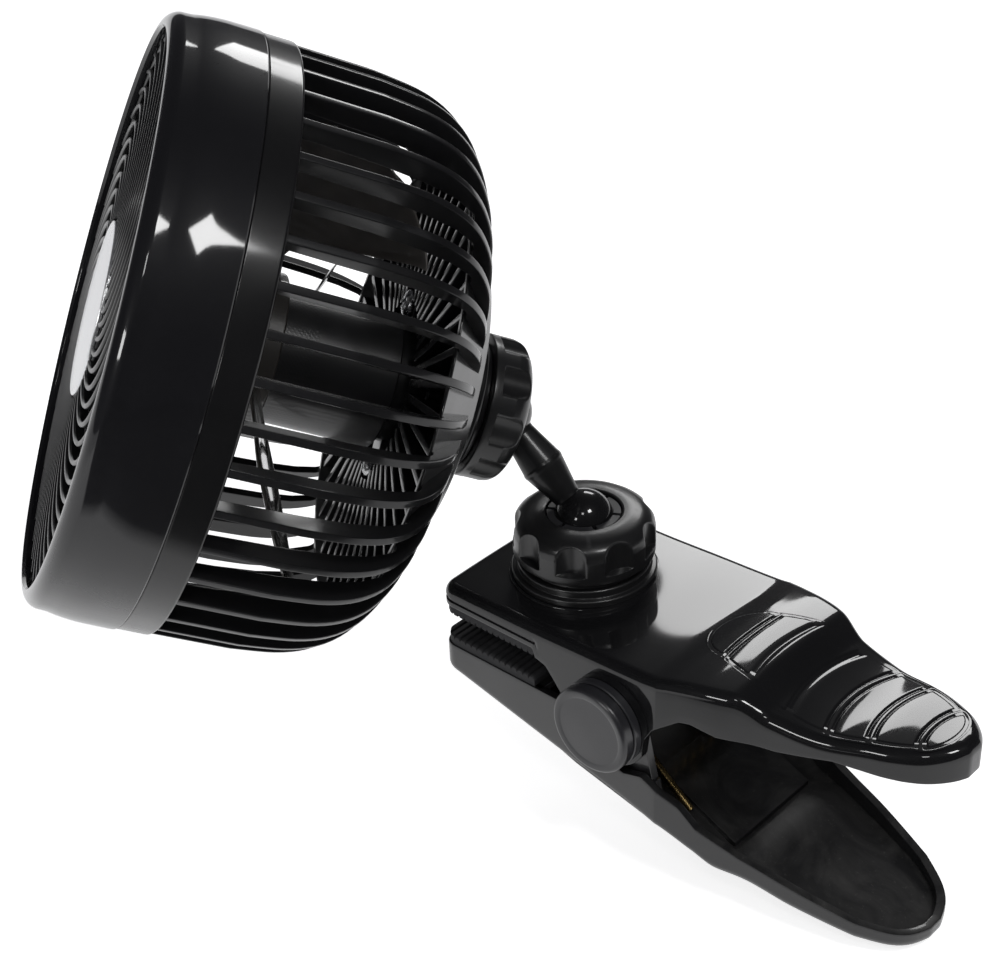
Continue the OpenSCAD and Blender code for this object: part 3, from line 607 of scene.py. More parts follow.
def thread(z, count, pitch, crest):
    """Profile of an outside thread that starts at height z."""
    return [p for k in range(count) for p in (
        (THREAD_R - 0.75, z + k * pitch), (THREAD_R, z + k * pitch + 0.45),
        (THREAD_R, z + k * pitch + crest), (THREAD_R - 0.75, z + k * pitch + crest + 0.45))]


# Side view of a rib: (radius, distance behind the seam), outer and inner edge.
RIB_OUT = [(79.3, 4), (79, 30), (77.7, 42), (75.3, 50), (71.5, 56), (66.5, 60.5), (60, 64.4),
           (53, 67), (47.5, 68.6), (41, 70.4)]
RIB_IN = [(23.6, 70.4), (23.6, 57.6), (66, 57.6), (69.6, 51), (71.8, 42), (73.2, 30),
          (74.4, 9.5), (78.2, 6.4), (78.2, 4)]


def make_cage():
    b = Build()
    band(b, HEAD_R - SHELL_T - 0.2, HEAD_R - 0.26, BAND_Z, SEAM_Z - 0.06, [0.3, 0.9, 0.45, 0.2],
         5, 288)
    out = smooth_line(RIB_OUT[1:], 2.0)
    inner = fillet(RIB_IN[1:7], [0.4, 3.0, 4.0, 4.0, 6.0, 1.0], 5, closed=False)
    shape = [RIB_OUT[0]] + out + [RIB_IN[0]] + inner + RIB_IN[7:]
    shape = [(r, SEAM_Z - s) for r, s in shape]
    # Three ribs: whole, and two that are cut back round the pod's lugs.
    ribs = []
    for cut in (0.0, 24.6, 27.0):
        rib = Build()
        step = [shape[0]]
        for r, z in shape[1:]:
            if cut and r < 23.7 and z > LUG_Z:
                step += [(23.6, LUG_Z), (cut, LUG_Z), (cut, SEAM_Z - 57.6)]
            elif not (cut and r < cut and z > LUG_Z):
                step.append((r, z))
        prism(rib, step, -RIB_T / 2, RIB_T / 2, 0.42, lambda r, z, t: (r, t, z))
        ribs.append(rib)
    for i in range(RIBS):
        a = RIB_PHASE + i * 360 / RIBS
        off = abs((a - LUG_A + 90) % 180 - 90)
        rib = ribs[2 if off < 8 else 1 if off < 12.5 else 0]
        b.put(spin(rib.v, a), rib.f)
    bowl = fillet([(0, BOWL_BACK), (40.6, BOWL_BACK), (64.6, BOWL_RIM), (62.2, BOWL_RIM),
                   (40.8, BOWL_BACK + 2.6), (0, BOWL_BACK + 2.6)],
                  [0, 4.0, 0.5, 0.4, 4.0, 0], 6)
    lathe(b, bowl, n=240)
    band(b, 22.2, 24.6, BOWL_BACK + 1, LUG_Z - 1, 0.4)
    boss = Build()
    band(boss, 1.3, 4.2, BOWL_BACK + 2, LUG_Z, n=40)
    for s in (0, 180):
        b.put(spin(boss.v, LUG_A + s, LUG_R), boss.f)
    band(b, 3.2, 21.3, 11.7, 19.7, [0.2, 1.0, 0.3, 0.2], 5, 160)
    band(b, 12.4, 17.4, NUT_H, 12.4)
    lathe(b, [(12.35, 2.6), (THREAD_R - 0.9, 2.6)] + thread(3.0, 5, 1.4, 0.75)
          + [(THREAD_R - 0.2, 10.6), (12.35, 10.6)], n=128)
    return b.piece("cage_ribs", HEAD, "head", "satin_black", CAGE, ["rear_cage"])


def make_pod():
    b = Build()
    lathe(b, fillet([(15.3, POD_REAR + 1.1), (POD_R, POD_REAR + 1.1), (POD_R, POD_FRONT),
                     (13.0, POD_FRONT), (12.0, POD_FRONT - 0.8), (4.3, POD_FRONT - 0.8),
                     (4.3, POD_FRONT - 2.6), (15.3, POD_FRONT - 2.6)],
                    [0.3, 0.5, 1.3, 0.3, 0.3, 0.2, 0.2, 0.2], 6), n=192)
    band(b, 13.6, 16, BOWL_BACK + 2.7, POD_REAR + 2)
    lug = Build()
    shape = [(15.0, -4.4)] + arc(LUG_R, 0, 4.4, -90, 90, 20) + [(15.0, 4.4)]
    prism(lug, shape, LUG_Z + 0.1, LUG_Z + 3.1, 0.45)
    for s in (0, 180):
        b.put(spin(lug.v, LUG_A + s), lug.f)
    return b.piece("pod_shell", HEAD, "head", "satin_black", POD, ["motor_pod"])


def make_screws():
    """Two pan heads, each with a cross recess that a boolean cuts."""
    z = LUG_Z + 3.15
    b, one, c = Build(), Build(), Build()
    dome = [(3.9 * math.cos(D(t)), z + 0.7 + 1.9 * math.sin(D(t))) for t in range(0, 91, 9)]
    lathe(one, [(0, 25), (1.28, 25), (1.28, z), (3.6, z), (3.9, z + 0.25)] + dome, n=64,
          closed=False)
    for s in (0, 180):
        b.put(spin(one.v, LUG_A + s, LUG_R), one.f)
        for w, l in ((0.5, 2.3), (2.3, 0.5)):
            cross = Build()
            prism(cross, [(-w, -l), (w, -l), (w, l), (-w, l)], z + 1.3, z + 6, 0.05)
            c.put(spin(spin(cross.v, 20), LUG_A + s, LUG_R), cross.f)
    obj = b.piece("pan_screws", HEAD, "head", "steel", SCREW, ["pod_screws"])
    cut = c.piece("cross_cutter", HEAD, "head", "steel", SCREW)
    mod = obj.modifiers.new("cross", "BOOLEAN")
    mod.operation, mod.solver, mod.object = "DIFFERENCE", "EXACT", cut
    mod.use_self = True
    obj.modifiers.move(1, 0)
    bpy.context.view_layer.update()
    shown = obj.evaluated_get(bpy.context.evaluated_depsgraph_get())
    done = bpy.data.meshes.new_from_object(shown)
    obj.modifiers.remove(obj.modifiers["cross"])
    obj.data = done
    bpy.data.objects.remove(cut)
    return obj


def make_fan():
    b = Build()
    m, k, t = 40, 44, 1.3

    def lead(r):
        return -11.2 + 2.1 * (31 - r) if r < 31 else -math.degrees(math.acos(min(1, 30.4 / r)))

    def point(i, j, side):
        r = CUP_R - 0.8 + (TIP_R - CUP_R + 0.8) * i / m
        tip = max(0.0, (i - m + 3) / 3.0)
        q = j / k
        a = lead(r) + 68 * q
        near = min(q, 1 - q)
        edge = min(1.0, 0.25 + (near / 0.07) ** 0.6 * 0.75) if near > 0 else 0.22
        edge *= 1 - 0.55 * tip * tip
        rr = r - 1.6 * (max(0.0, 1 - near / 0.06)
                        * max(0.0, (i - 0.85 * m) / (0.15 * m))) ** 2
        a = D(a)
        slope = PITCH * (1 + 0.16 * (TIP_R - r) / TIP_R)
        camber = 1.1 * math.sin(math.pi * q) * math.sin(math.pi * min(1, i / m + 0.15))
        z = BLADE_Z + slope * r * math.sin(a) + side * edge * t / 2 + camber * 0.5
        return (rr * math.cos(a), rr * math.sin(a), z)
    low = [point(i, j, -1) for i in range(m + 1) for j in range(k + 1)]
    top = [point(i, j, 1) for i in range(m + 1) for j in range(k + 1)]
    for i in range(BLADES):
        b.put(spin(low + top, i * 360 / BLADES + FAN_PHASE), slab(m + 1, k + 1))
    rear = 67.4
    lathe(b, fillet([(CUP_R - 2.2, rear), (CUP_R, rear), (CUP_R, 97.4), (CUP_R - 3.2, 100.5),
                     (0.0, 100.5), (0.0, 98.0), (CUP_R - 2.2, 97.4)],
                    [0.4, 0.6, 2.5, 2.5, 0, 0, 1.0], 6), n=160)
    band(b, SHAFT_R, 5, 78, 98, n=64)
    for i in range(6):
        web = Build()
        prism(web, [(4.6, 84), (CUP_R - 2.0, 92), (CUP_R - 2.0, 97.8), (4.6, 97.8)], -0.5, 0.5, 0.2,
              move=lambda x, z, y: (x, y, z))
        b.put(spin(web.v, i * 60 + 30), web.f)
    return b.piece("blade_set", HEAD, "fan", "gloss_black", BLADE, ["fan_blade"])


# ---------------------------------------------------------------- ball joints
def nut_shape(body, name, at, node):
    """Ring nut: a domed face, vertical flutes that run out through the dome, a plain rim."""
    b = Build()
    step, flute, c, rise = 360.0 / NUT_GRIPS, 5.85, NUT_R - 2.3 + 5.85, 3.1

    def cut(angle, r, z):
        if z > 6.95 or r < NUT_R - 3.4:
            return r
        d = (math.degrees(angle) - 10 + step / 2) % step - step / 2
        q = flute ** 2 - (c * math.sin(D(d))) ** 2
        wall = c * math.cos(D(d)) - (math.sqrt(q) if q > 0 else -2.5 * math.sqrt(-q))
        depth = max(0.0, min(1.0, (6.95 - z) / 0.35))
        wall = NUT_R + 0.5 - (NUT_R + 0.5 - wall) * depth
        k = 0.45
        h = max(0.0, min(1.0, 0.5 + 0.5 * (r - wall) / k))
        return r * (1 - h) + wall * h - k * h * (1 - h)
    dome = smooth_line([(NUT_OPEN + 0.55, -rise), (13.6, -rise + 0.02), (NUT_R - 4.1, 0.45 - rise),
                        (NUT_R - 2.5, 1.15 - rise), (NUT_R - 1.2, 2.15 - rise),
                        (NUT_R - 0.4, 3.5 - rise), (NUT_R, 5.4 - rise)], 0.22)
    side = [(NUT_OPEN, -1.5), (NUT_OPEN, 0.5 - rise), (NUT_OPEN + 0.15, 0.15 - rise)] + dome
    side += [(NUT_R, 2.6 + 0.4 * i) for i in range(9)]
    side += [(NUT_R, 6.25), (NUT_R, 6.45), (NUT_R, 6.55), (NUT_R, 6.62), (NUT_R, 6.7),
             (NUT_R, 6.8), (NUT_R, 6.95), (NUT_R, 7.2), (NUT_R, 8.0)]
    side += arc(NUT_R - 0.5, NUT_H - 0.6, 0.5, 0, 90, 5)
    side += [(NUT_R - 1.1, NUT_H - 0.1), (THREAD_R + 0.5, NUT_H - 0.1),
             (THREAD_R + 0.08, NUT_H - 0.5)]
    for i in range(4):
        z = NUT_H - 1.2 - i * 1.5
        side += [(THREAD_R + 0.08, z), (THREAD_R + 0.7, z - 0.5), (THREAD_R + 0.7, z - 0.8),
                 (THREAD_R + 0.08, z - 1.3)]
    side += [(THREAD_R + 0.08, 2.2), (NUT_OPEN, 2.2)]
    lathe(b, side, n=NUT_GRIPS * 36, dr=cut)
    return b.piece(name, at, body, "satin_black", NUT, [node])


def make_arm():
    b = Build()
    mid = ARM_LEN / 2
    a = math.degrees(math.asin(4.0 / BALL_R))
    prof = [(BALL_R * math.sin(D(t)), -BALL_R * math.cos(D(t)))
            for t in [i * (180 - a) / 30 for i in range(31)]]
    neck = fillet([(4.0, 7.6), (4.0, 8.4), (5.95, mid - 1.0), (6.15, mid - 0.35),
                   (6.15, mid + 0.35), (5.95, mid + 1.0), (4.5, ARM_LEN - 8.4),
                   (4.5, ARM_LEN - 7.3)],
                  [0, 1.2, 0.4, 0.3, 0.3, 0.4, 1.2, 0], 4, closed=False)
    a2 = math.degrees(math.asin(4.5 / BALL_R))
    far = [(BALL_R * math.sin(D(t)), ARM_LEN - BALL_R * math.cos(D(t)))
           for t in [a2 + i * (180 - a2) / 30 for i in range(31)]]
    lathe(b, prof[:-1] + neck[:1], n=128, closed=False, slot=1)
    lathe(b, neck, n=128, closed=False)
    lathe(b, neck[-1:] + far[1:], n=128, closed=False, slot=1)
    return b.piece("ball_arm", ARM, "arm", "satin_black", [SATIN, GLOSS], ["link_arm"])


def make_socket():
    b = Build()
    lathe(b, fillet([(0, 10.8), (20.6, 10.8), (20.6, 12.75), (19, 12.85), (19, 15.1), (17.4, 15.3),
                     (17.4, BALL_Z - NUT_H), (15.7, BALL_Z - NUT_H), (12.35, BALL_Z - NUT_H),
                     (12.35, 16.2), (0, 16.2)],
                    [0, 0.4, 0.6, 0.3, 0.7, 0.3, 0.4, 0.2, 0.2, 0.2, 0], 5), n=160)
    lathe(b, [(12.35, BALL_Z - 10), (THREAD_R - 0.4, BALL_Z - 10)]
          + thread(BALL_Z - 9.4, 4, 1.6, 0.8)
          + [(THREAD_R - 0.9, BALL_Z - 2.6), (12.35, BALL_Z - 2.6)], n=128)
    return b.piece("swivel_socket", WORLD, "clamp", "satin_black", NUT, ["base_socket"])


# ---------------------------------------------------------------- the clamp
# Side view of the clip, (y, z): upper face, upper shell's lower edge, lower face, tray's rim.
TOP = [(-28, 9.9), (6, 10.5), (25, 11.3), (46, 12.2), (54, 13.5), (63, 14.5), (69, 14.7),
       (79, 10.9), (92, 9.5), (106, 11.4), (115, 12.1), (126, 13.6)]
SKIRT = [(-28, 3.0), (7.3, 3.0), (7.9, 0.4), (11.8, -0.7), (13.2, -2.2), (19.6, -10),
         (22, -14), (44.5, -14), (45.3, -10.7), (49.3, -3.9), (56.8, 1.6), (59.8, 2.1),
         (67, 0.4), (82, 0.6), (97, 3.4), (114, 3.0), (126, 3.4)]
KEEL = [(-28, -19.6), (-0.5, -25.7), (22.2, -30.7), (48.2, -37), (60, -42.4), (66.8, -45.6),
        (74, -46.2), (88.3, -49.5), (103, -52.6), (121, -56.2)]
RIM = [(-28, -10.2), (17, -10.2), (24, -20), (39.4, -23.5), (45.3, -21.7), (51.2, -24.4),
       (57, -27.1), (62, -32.6), (74, -37.6), (88.3, -41.5), (104, -46), (121, -50.4)]
# Half width of the tail, (y, x).
WIDE = [(50, HALF_W), (54, 30), (67, 27), (77, 23.2), (90, 20.5), (104, 17.2), (112, 15.2),
        (119, 11.6), (124, 7)]


def half_outline(tip):
    """Right half of a jaw's plan, nose centre to thumb end, about 0.8 mm apart."""
    pts = [(i * 0.9, NOSE) for i in range(29)]
    pts += arc(HALF_W - 5, NOSE + 5, 5, -90, 0, 9)
    y = NOSE + 5.8
    while y < 49.5:
        pts.append((HALF_W, y))
        y += 0.8
    if tip < TIP:
        tail = [(HALF_W, 50), (30, 54), (27, 67), (24.6, 77), (22, 90), (18.2, 104),
                (16.6, tip - 12.5), (12.6, tip - 6), (8.2, tip - 2.2), (2.4, tip), (0, tip)]
    else:
        tail = [(HALF_W, 50), (30, 54), (27, 67), (23.2, 77), (20.5, 90), (17.2, 104),
                (15.2, tip - 15), (11.6, tip - 7.5), (7, tip - 2.6), (2.4, tip), (0, tip)]
    pts += [(x, min(y, tip)) for x, y in smooth_line(tail, 0.8)]
    return pts


def plan(tip):
    """Closed plan outline with outward normals."""
    half = half_outline(tip)
    loop = half + [(-x, y) for x, y in reversed(half[1:-1])]
    n = len(loop)
    nor = []
    for i in range(n):
        a, c = Vector(loop[i - 1]), Vector(loop[(i + 1) % n])
        d = (c - a).normalized()
        nor.append(Vector((d.y, -d.x)))
    for _ in range(3):
        nor = [(nor[i - 1] + 2 * nor[i] + nor[(i + 1) % n]).normalized() for i in range(n)]
    return loop, nor


def crown(x, y):
    w = max(9.0, min(HALF_W, line(WIDE, y)))
    return -0.55 * min(1.0, abs(x) / w) ** 2.6


def shell(build, tip, face, edge_z, up, radius, groove=None, inner=WALL):
    """A jaw shell: a broad face z = face(x, y), a rounded edge, side walls to edge_z(y), an inner
    skin. up is 1 for a face on top and -1 for one below. groove: (from y, to y, z, depth)."""
    loop, nor = plan(tip)
    n = len(loop)
    lo, hi = NOSE + 26, tip - 16
    rings = []

    def at_inset(p, v, d):
        return (p[0] - v[0] * d, p[1] - v[1] * d)

    def spread(skin, inset, count):
        out = []
        for t in [1 - (k / count) for k in range(count + 1)]:
            row = []
            for p, v in zip(loop, nor):
                x, y = at_inset(p, v, inset)
                sx, sy = 0.0, min(hi, max(lo, y))
                qx, qy = x + (sx - x) * t, y + (sy - y) * t
                row.append((qx, qy, face(qx, qy) - up * skin))
            out.append(row)
        return out
    rings += spread(0.0, radius, 16)
    edge = []
    for k in range(1, 9):
        a = D(90.0 * k / 8)
        row = []
        for p, v in zip(loop, nor):
            x, y = at_inset(p, v, radius * (1 - math.sin(a)))
            q = at_inset(p, v, radius)
            row.append((x, y, face(*q) - up * radius * (1 - math.cos(a))))
        edge.append(row)
    rings += edge
    last = edge[-1]

    def wall(w):
        return [(p[0], p[1], q[2] + (edge_z(p[1]) + up * 0.5 - q[2]) * w)
                for p, q in zip(loop, last)]
    if groove:
        g0, g1, gz, depth = groove
        for k, (dz, d) in enumerate(((0.75, 0.0), (0.35, depth), (-0.35, depth), (-0.75, 0.0))):
            rings.append([(*at_inset(p, v, d), gz + up * dz) if g0 <= p[1] <= g1 else q
                          for p, v, q in zip(loop, nor, wall(0.2 + 0.18 * k))])
    else:
        rings += [wall(w) for w in (0.12, 0.25, 0.4, 0.55, 0.7, 0.82, 0.92)]
    for dz, d in ((0.5, 0.0), (0.15, 0.12), (0.0, 0.5), (0.0, inner - 0.5), (0.15, inner - 0.12),
                  (0.5, inner)):
        rings.append([(*at_inset(p, v, d), edge_z(p[1]) + up * dz) for p, v in zip(loop, nor)])
    rings += spread(inner, inner, 16)[::-1]
    # The innermost rings meet along the centre line: left and right points weld together there.
    build.put([q for row in rings for q in row], grid(len(rings), n))


def floor_plate(build, z0, z1):
    """The plate behind a pad, with clipped front corners."""
    w = HALF_W - 0.6
    right = [(w - 4, NOSE + 0.7), (w - 1.2, NOSE + 2), (w, NOSE + 5), (w, 9.6)]
    prism(build, [(-right[0][0], right[0][1])] + right + [(-x, y) for x, y in right[:0:-1]],
          z0, z1, 0.25)


def upper_face(x, y):
    return curve(TOP, y) + crown(x, y)


def bedded_face(x, y):
    """The thumb plate sinks under the grip, which fills the bed flush."""
    inside = min(curve(GRIP_W, y) - 2.2 - abs(x), y - 50.5, 118.0 - y)
    return upper_face(x, y) - 0.7 * max(0.0, min(1.0, inside / 1.2))


def skirt_z(y):
    """Lower edge of the upper shell, with a round lobe over the pivot."""
    z, dy = line(SKIRT, y), y - PIVOT_Y
    return min(z, PIVOT_Z - math.sqrt(14.0 ** 2 - dy ** 2)) if abs(dy) < 13.0 else z


GRIP_W = [(48, 4), (50, 7.2), (53, 9.6), (57, 11.8), (60, 13.0), (66, 14.9), (72, 16.2),
          (80, 17.2), (88, 16.9), (95, 15.9), (102, 14.4), (108, 12.7), (114, 9.9), (118, 6.6),
          (120.2, 3.2), (121, 1.2)]


def make_upper_jaw():
    b = Build()
    shell(b, TIP, bedded_face, skirt_z, 1, 3.2, groove=(-30, 8.5, 5.4, 0.45))
    band(b, 0, 21.4, 7.6, 10.8, [0, 0.2, 0.5, 0], 5, 160)
    floor_plate(b, 2.9, 5.0)
    return b.piece("upper_shell", WORLD, "clamp", "gloss_black", GLOSS, ["upper_jaw"], weld=0.02)


CUTS = [(57.9, 0.8, 0.85), (67.2, 2.2, 0.0), (79.2, 3.0, 0.0), (90.1, 3.4, 0.95),
        (101.1, 3.2, 0.9), (113.5, 1.9, 0.85)]


def grip_height(x, y):
    """Height over the bed's level: tiles with an engraved rim, plain strips between them, and two
    soft steps. Cuts are (y on the centre line, bow at the side, half the strip's width)."""
    half = curve(GRIP_W, y)
    side = (half - abs(x)) * 0.94
    ends = []
    for (cy, a, b) in ((57.9, 11.9, 10.2), (114.6, 9.6, 6.2)):
        u, v = x / a, (y - cy) / b
        q = math.hypot(u, v)
        grad = math.hypot(u / a, v / b)
        ends.append((1 - q) * q / grad if grad > 1e-6 else 5.0)
    if y < 57.9:
        side = ends[0]
    elif y > 114.6:
        side = ends[1]
    at = [y - c - bow * (x / max(6.0, half)) ** 2 for c, bow, gap in CUTS]
    tile = sum(1 for d in at if d > 0)
    near = [side]
    if tile > 0:
        near.append(at[tile - 1] * 0.96 - CUTS[tile - 1][2] if CUTS[tile - 1][2] else 9.0)
    if tile < 6:
        near.append(-at[tile] * 0.96 - CUTS[tile][2] if CUTS[tile][2] else 9.0)
    d = min(near)
    deep = 0.30 if tile in (0, 1, 4, 5, 6) or near[0] > d + 0.3 else 0.14
    h = -deep * math.exp(-(d / 0.27) ** 2)
    h += 0.10 * max(0.0, min(1.0, (d + 0.1) / 0.7)) if d > -0.1 else 0.0
    if side > -0.5:
        fade = min(1.0, max(0.0, side + 0.5))
        h -= 0.34 * fade * math.exp(-(at[1] / 1.15) ** 2)
        h -= (0.12 * math.exp(-((at[2] + 0.9) / 0.25) ** 2)
              + 0.30 * math.exp(-((at[2] - 0.2) / 0.95) ** 2)) * fade
    return h


def make_grip():
    """Fine height field over the thumb plate's bed, flush with the plate at its border."""
    b = Build()
    step = 0.26
    ys = [47.0 + step * j for j in range(int((122.4 - 47.0) / step) + 1)]
    cols = 70
    verts = []
    for y in ys:
        if y < 57.9:
            w = 13.3 * math.sqrt(max(0.0, 1 - ((57.9 - y) / 11.6) ** 2))
        elif y > 114.6:
            w = 11.0 * math.sqrt(max(0.0, 1 - ((y - 114.6) / 7.6) ** 2))
        else:
            w = curve(GRIP_W, y) + 1.4
        w = max(1.2, w)
        for i in range(cols + 1):
            x = w * (2 * i / cols - 1)
            rim = min(w - abs(x), (y - ys[0]) * 0.9, (ys[-1] - y) * 0.9)
            z = upper_face(x, y) + grip_height(x, y) + 0.02 - 0.10 * max(0.0, 1 - rim / 0.5)
            verts.append((x, y, z))
    b.put(verts, grid(len(ys), cols + 1, wrap=False))
    return b.piece("thumb_grip", WORLD, "clamp", "gloss_black", GLOSS, flat=75.0)


def make_lower_jaw():
    b = Build()

    def across(y, z, x):
        return (x, y, z)
    shell(b, LOW_TIP, lambda x, y: curve(KEEL, y) - crown(x, y), lambda y: line(RIM, y), -1, 3.0)
    floor_plate(b, -MOUTH - PAD_T - 2.2, -MOUTH - PAD_T)
    for s in (-1, 1):
        ear = fillet([(20, -28.5), (23.6, -8.5)] + arc(PIVOT_Y, PIVOT_Z, 10.4, 180, 0, 24)
                     + [(44, -10), (47, -23), (50, -35.5), (22.2, -29.5)], 0, 1)
        x0, x1 = (IN_EAR - 2.8, IN_EAR) if s > 0 else (-IN_EAR, -IN_EAR + 2.8)
        prism(b, ear, x0, x1, 0.3, across)
        foot = [(16, -27.5), (17, -21), (24, -21), (39.4, -24), (48, -24), (50, -35.5),
                (22.2, -29.5)]
        x0, x1 = (IN_EAR - 2.8, HALF_W - 0.4) if s > 0 else (-HALF_W + 0.4, -IN_EAR + 2.8)
        prism(b, foot, x0, x1, 0.3, across)
    inner = smooth_line([(40, -30.9), (48.2, -32.8), (60, -38.2), (67.5, -41.5)], 1.5) \
        + smooth_line([(67.5, -44), (60, -41), (48.2, -35.6), (40, -33.4)], 1.5)
    prism(b, inner, -17.3, 17.3, 0.4, across)
    return b.piece("lower_shell", WORLD, "lower_clamp", "gloss_black", TRAY, ["lower_jaw"],
                   weld=0.02)


def make_pad(name, node, body, flip):
    b = Build()
    pitch = PAD_LEN / 16
    y0 = NOSE + 0.4
    rows = []
    for i in range(16):
        for q, z in ((0.0, 0.9), (0.06, 0.8), (0.19, 0.12), (0.28, 0.0), (0.72, 0.0), (0.81, 0.12),
                     (0.94, 0.8)):
            rows.append((y0 + (i + q) * pitch, z))
    rows.append((y0 + PAD_LEN, 0.9))

    def half(y):
        d = y - (NOSE + 0.4)
        if d < 5:
            return HALF_W - 0.5 - 5 + math.sqrt(max(0.0, 25 - (5 - d) ** 2))
        return HALF_W - 0.5
    cross = [-1, -0.992, -0.97] + [-0.9 + 0.1 * i for i in range(19)] + [0.97, 0.992, 1]
    drop = [0.35, 0.1, 0.0] + [0.0] * 19 + [0.0, 0.1, 0.35]
    verts = [(s * half(y), y, flip[0] + flip[1] * min(PAD_T - 0.4, z + d))
             for y, z in rows for s, d in zip(cross, drop)]
    verts += [(s * half(y), y, flip[0] + flip[1] * PAD_T) for y, _ in rows for s in cross]
    b.put(verts, slab(len(rows), len(cross)))
    return b.piece(name, WORLD, body, "pad_rubber", RUBBER, [node])


def make_cap(name, node, side):
    b = Build()
    prof = [(0, 3.05), (PIN_R, 3.05), (PIN_R, 0), (CAP_R - 0.2, 0), (CAP_R, 0.2), (CAP_R, 2.3),
            (CAP_R - 0.3, 2.6), (CAP_R - 0.7, 2.65), (CAP_R - 0.7, 3.15), (CAP_R - 0.3, 3.2),
            (CAP_R, 3.5), (CAP_R, CAP_H - 1.3)]
    prof += [(CAP_R - 1.3 + 1.3 * math.cos(D(t)), CAP_H - 1.3 + 1.3 * math.sin(D(t)))
             for t in range(15, 91, 15)]
    prof += [(CAP_R - 2.2, CAP_H - 0.06), (CAP_R - 2.5, CAP_H - 0.25), (CAP_R - 2.9, CAP_H - 0.3),
             (8, CAP_H - 0.22), (4, CAP_H - 0.12), (0, CAP_H - 0.1)]
    flip = [(r, side * (HALF_W + z)) for r, z in prof]
    lathe(b, flip, n=128, closed=False)
    return b.piece(name, PIVOT, "clamp", "satin_black", CAPM, [node])


def make_spring():
    start, sweep, coil_r, half_len, fine = 200.0, 360.0 * TURNS + 121.2, 8.2, 19.6, 300
    coil = []
    for i in range(fine + 1):
        a = D(start + sweep * i / fine)
        coil.append(Vector((coil_r * math.cos(a), coil_r * math.sin(a),
                            half_len * (2 * i / fine - 1))))
    t0 = Vector((math.sin(D(start)), -math.cos(D(start)), 0))
    a1 = D(start + sweep)
    t1 = Vector((-math.sin(a1), math.cos(a1), 0))
    legs0 = [coil[0] + t0 * k * 2.1 for k in range(15, 0, -1)]
    legs1 = [coil[-1] + t1 * k * 2.23 for k in range(1, 16)]
    b = Build()
    tube(b, legs0 + coil + legs1, WIRE / 2, 12)
    ends = [(x * 0.001, PIVOT_Y * 0.001, PIVOT_Z * 0.001) for x in (-half_len, half_len)]
    return b.piece("spring_coil", PIVOT, ("clamp", "lower_clamp", *ends), "spring_wire", SPRING,
                   ["torsion_spring"])


make_bezel()
make_grille()
make_badge()
make_cage()
make_pod()
make_screws()
make_fan()
nut_shape("head_nut", "head_nut_ring", HEAD, "head_ring_nut")
nut_shape("base_nut", "base_nut_ring", BASE, "base_ring_nut")
make_arm()
make_socket()
make_upper_jaw()
make_grip()
make_lower_jaw()
make_pad("upper_grip_pad", "upper_pad", "clamp", (0.0, 1))
make_pad("lower_grip_pad", "lower_pad", "lower_clamp", (-MOUTH, -1))
make_cap("cap_disc_right", "pivot_cap_right", 1)
make_cap("cap_disc_left", "pivot_cap_left", -1)
make_spring()

LOOKS = {"motor_can": STEEL, "motor_end_cap": GREY, "front_bush": BRONZE, "rear_bush": BRONZE,
         "motor_shaft": STEEL, "rotor_core": ROTOR, "head_ball_seat": GREY,
         "base_ball_seat": GREY, "socket_screws": SCREW, "pivot_pin": STEEL}
for node_name, look in LOOKS.items():
    data = NODES[node_name].data
    if not data.materials:
        data.materials.append(look)
    for i in range(len(data.materials)):
        data.materials[i] = look


# ---------------------------------------------------------------- the stage
GLOW, FILL, DARK_ROOM = 0.70, (0.30, 0.30, 0.31), (0.03, 0.03, 0.033)


def seen(tree):
    """1 for rays that show the background itself: camera, mirror-like and see-through rays."""
    path = add(tree, "ShaderNodeLightPath")
    a = math_node(tree, "MAXIMUM", path.outputs["Is Camera Ray"], path.outputs["Is Glossy Ray"])
    return path, math_node(tree, "MAXIMUM", a, path.outputs["Is Transmission Ray"])


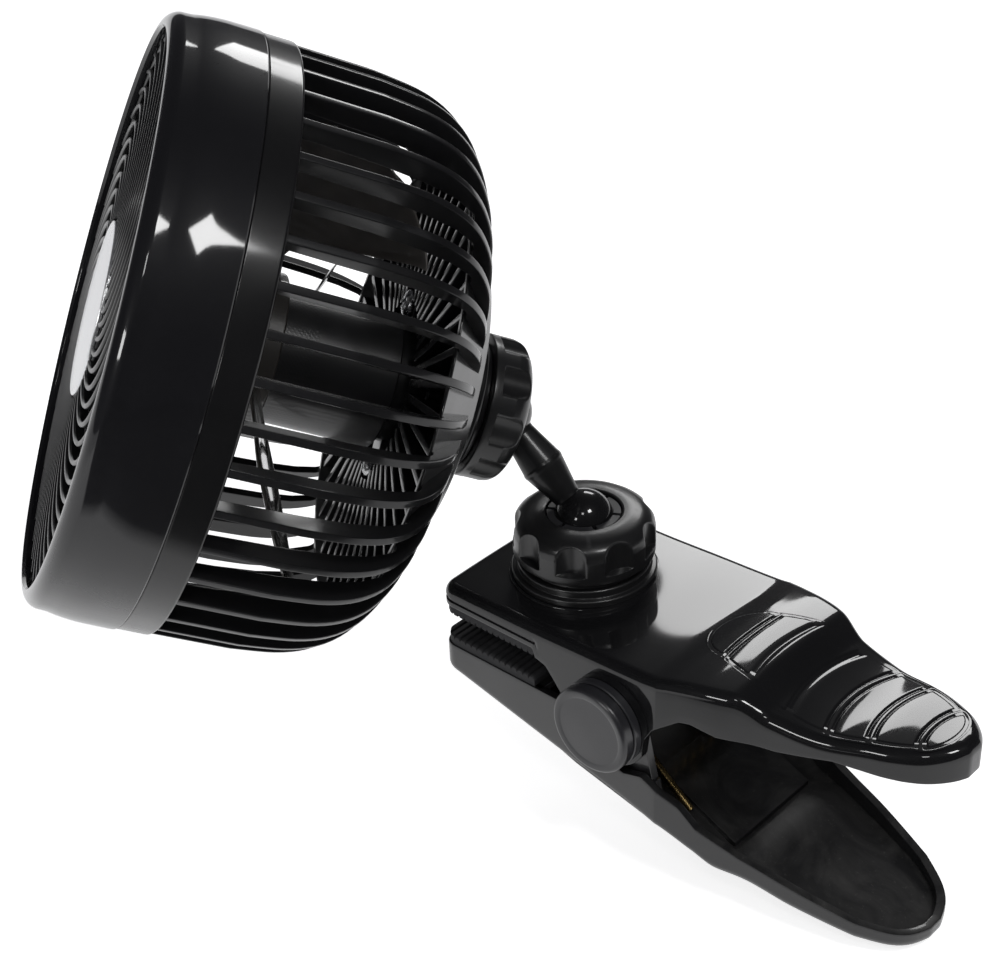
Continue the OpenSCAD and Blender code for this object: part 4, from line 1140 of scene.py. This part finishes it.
def make_stage():
    mesh = bpy.data.meshes.new("floor")
    s = 6.0
    mesh.from_pydata([(-s, -s, 0), (s, -s, 0), (s, s, 0), (-s, s, 0)], [], [(0, 1, 2, 3)])
    floor = bpy.data.objects.new("floor", mesh)
    floor.location = (0, 0, FLOOR_Z * 0.001)
    bpy.context.scene.collection.objects.link(floor)
    mat, tree, bsdf = nodes_of("pale_floor")
    bsdf.inputs["Roughness"].default_value = 0.95
    bsdf.inputs["Specular IOR Level"].default_value = 0.0
    path, shown = seen(tree)
    glossy = path.outputs["Is Glossy Ray"]
    x, y, _ = parts_of(tree, coords(tree))
    # Past these lines, in metres, the floor turns dark to mirror-like rays only: a painted dark
    # reflection, while camera and diffuse rays still see the white floor there.
    reflection_dark_zone = times(tree, times(tree, remap(tree, x, 0.10, 0.15, 0.0, 1.0),
                             remap(tree, y, 0.015, 0.045, 0.0, 1.0)), glossy)
    # Painted reflection too: to mirror-like rays the floor's white glow is cut to 0.47 of what the
    # camera sees.
    lit = times(tree, times(tree, shown, remap(tree, reflection_dark_zone, 0.0, 1.0, GLOW, 0.0)),
                remap(tree, glossy, 0.0, 1.0, 1.0, 0.47))
    bsdf.inputs["Emission Color"].default_value = (1, 1, 1, 1)
    tree.links.new(lit, bsdf.inputs["Emission Strength"])
    tree.links.new(remap(tree, reflection_dark_zone, 0.0, 1.0, 0.96, 0.05), bsdf.inputs["Base Color"])
    mesh.materials.append(mat)

    world = bpy.data.worlds.new("studio")
    bpy.context.scene.world = world
    world.use_nodes = True
    tree = world.node_tree
    path = add(tree, "ShaderNodeLightPath")
    dim = blend_colours(tree, path.outputs["Is Glossy Ray"], (*FILL, 1), (*DARK_ROOM, 1))
    tree.links.new(blend_colours(tree, path.outputs["Is Camera Ray"], dim, (1, 1, 1, 1)),
                   tree.nodes["Background"].inputs["Color"])


def softbox(name, azimuth, elevation, distance, width, height, radiance):
    """A soft panel seen from the object at these angles, in degrees, of that size and glow."""
    d = Vector((math.cos(D(azimuth)) * math.cos(D(elevation)),
                math.sin(D(azimuth)) * math.cos(D(elevation)), math.sin(D(elevation))))
    target = Vector((0.03, -0.02, 0.04))
    light = bpy.data.lights.new(name, "AREA")
    light.shape = "RECTANGLE"
    light.size, light.size_y = width, height
    light.energy = radiance * math.pi * width * height
    obj = bpy.data.objects.new(name, light)
    bpy.context.scene.collection.objects.link(obj)
    obj.location = target + d * distance
    obj.rotation_euler = (-d).to_track_quat("-Z", "Y").to_euler()
    obj.visible_camera = False
    return obj


make_stage()
softbox("back_panel", -151.5, 29.0, 2.0, 0.62, 0.40, 6.5)
softbox("key_panel", 81.9, 54.6, 1.6, 0.34, 0.28, 20.0)
softbox("side_lamp", 3, 26, 1.3, 0.36, 0.18, 14.0)
softbox("near_lamp", 37, 50, 1.3, 0.16, 0.16, 10.0)

cam = bpy.data.cameras.new("photo_camera")
cam.lens, cam.sensor_width, cam.sensor_fit = 69.45, 36.0, "HORIZONTAL"
cam.clip_start, cam.clip_end = 0.01, 50
cam_obj = bpy.data.objects.new("photo_camera", cam)
bpy.context.scene.collection.objects.link(cam_obj)
RIGHT = (-0.676043, 0.736061, -0.034346)
UP = (-0.405241, -0.332459, 0.851617)
BACK = (0.615423, 0.589648, 0.523039)
cam_obj.matrix_world = Matrix([[RIGHT[i], UP[i], BACK[i], p] for i, p in
                               enumerate((0.343437, 0.297140, 0.316066))] + [[0, 0, 0, 1]])
bpy.context.scene.camera = cam_obj
bpy.context.scene.view_settings.view_transform = "Standard"

bpy.context.view_layer.update()
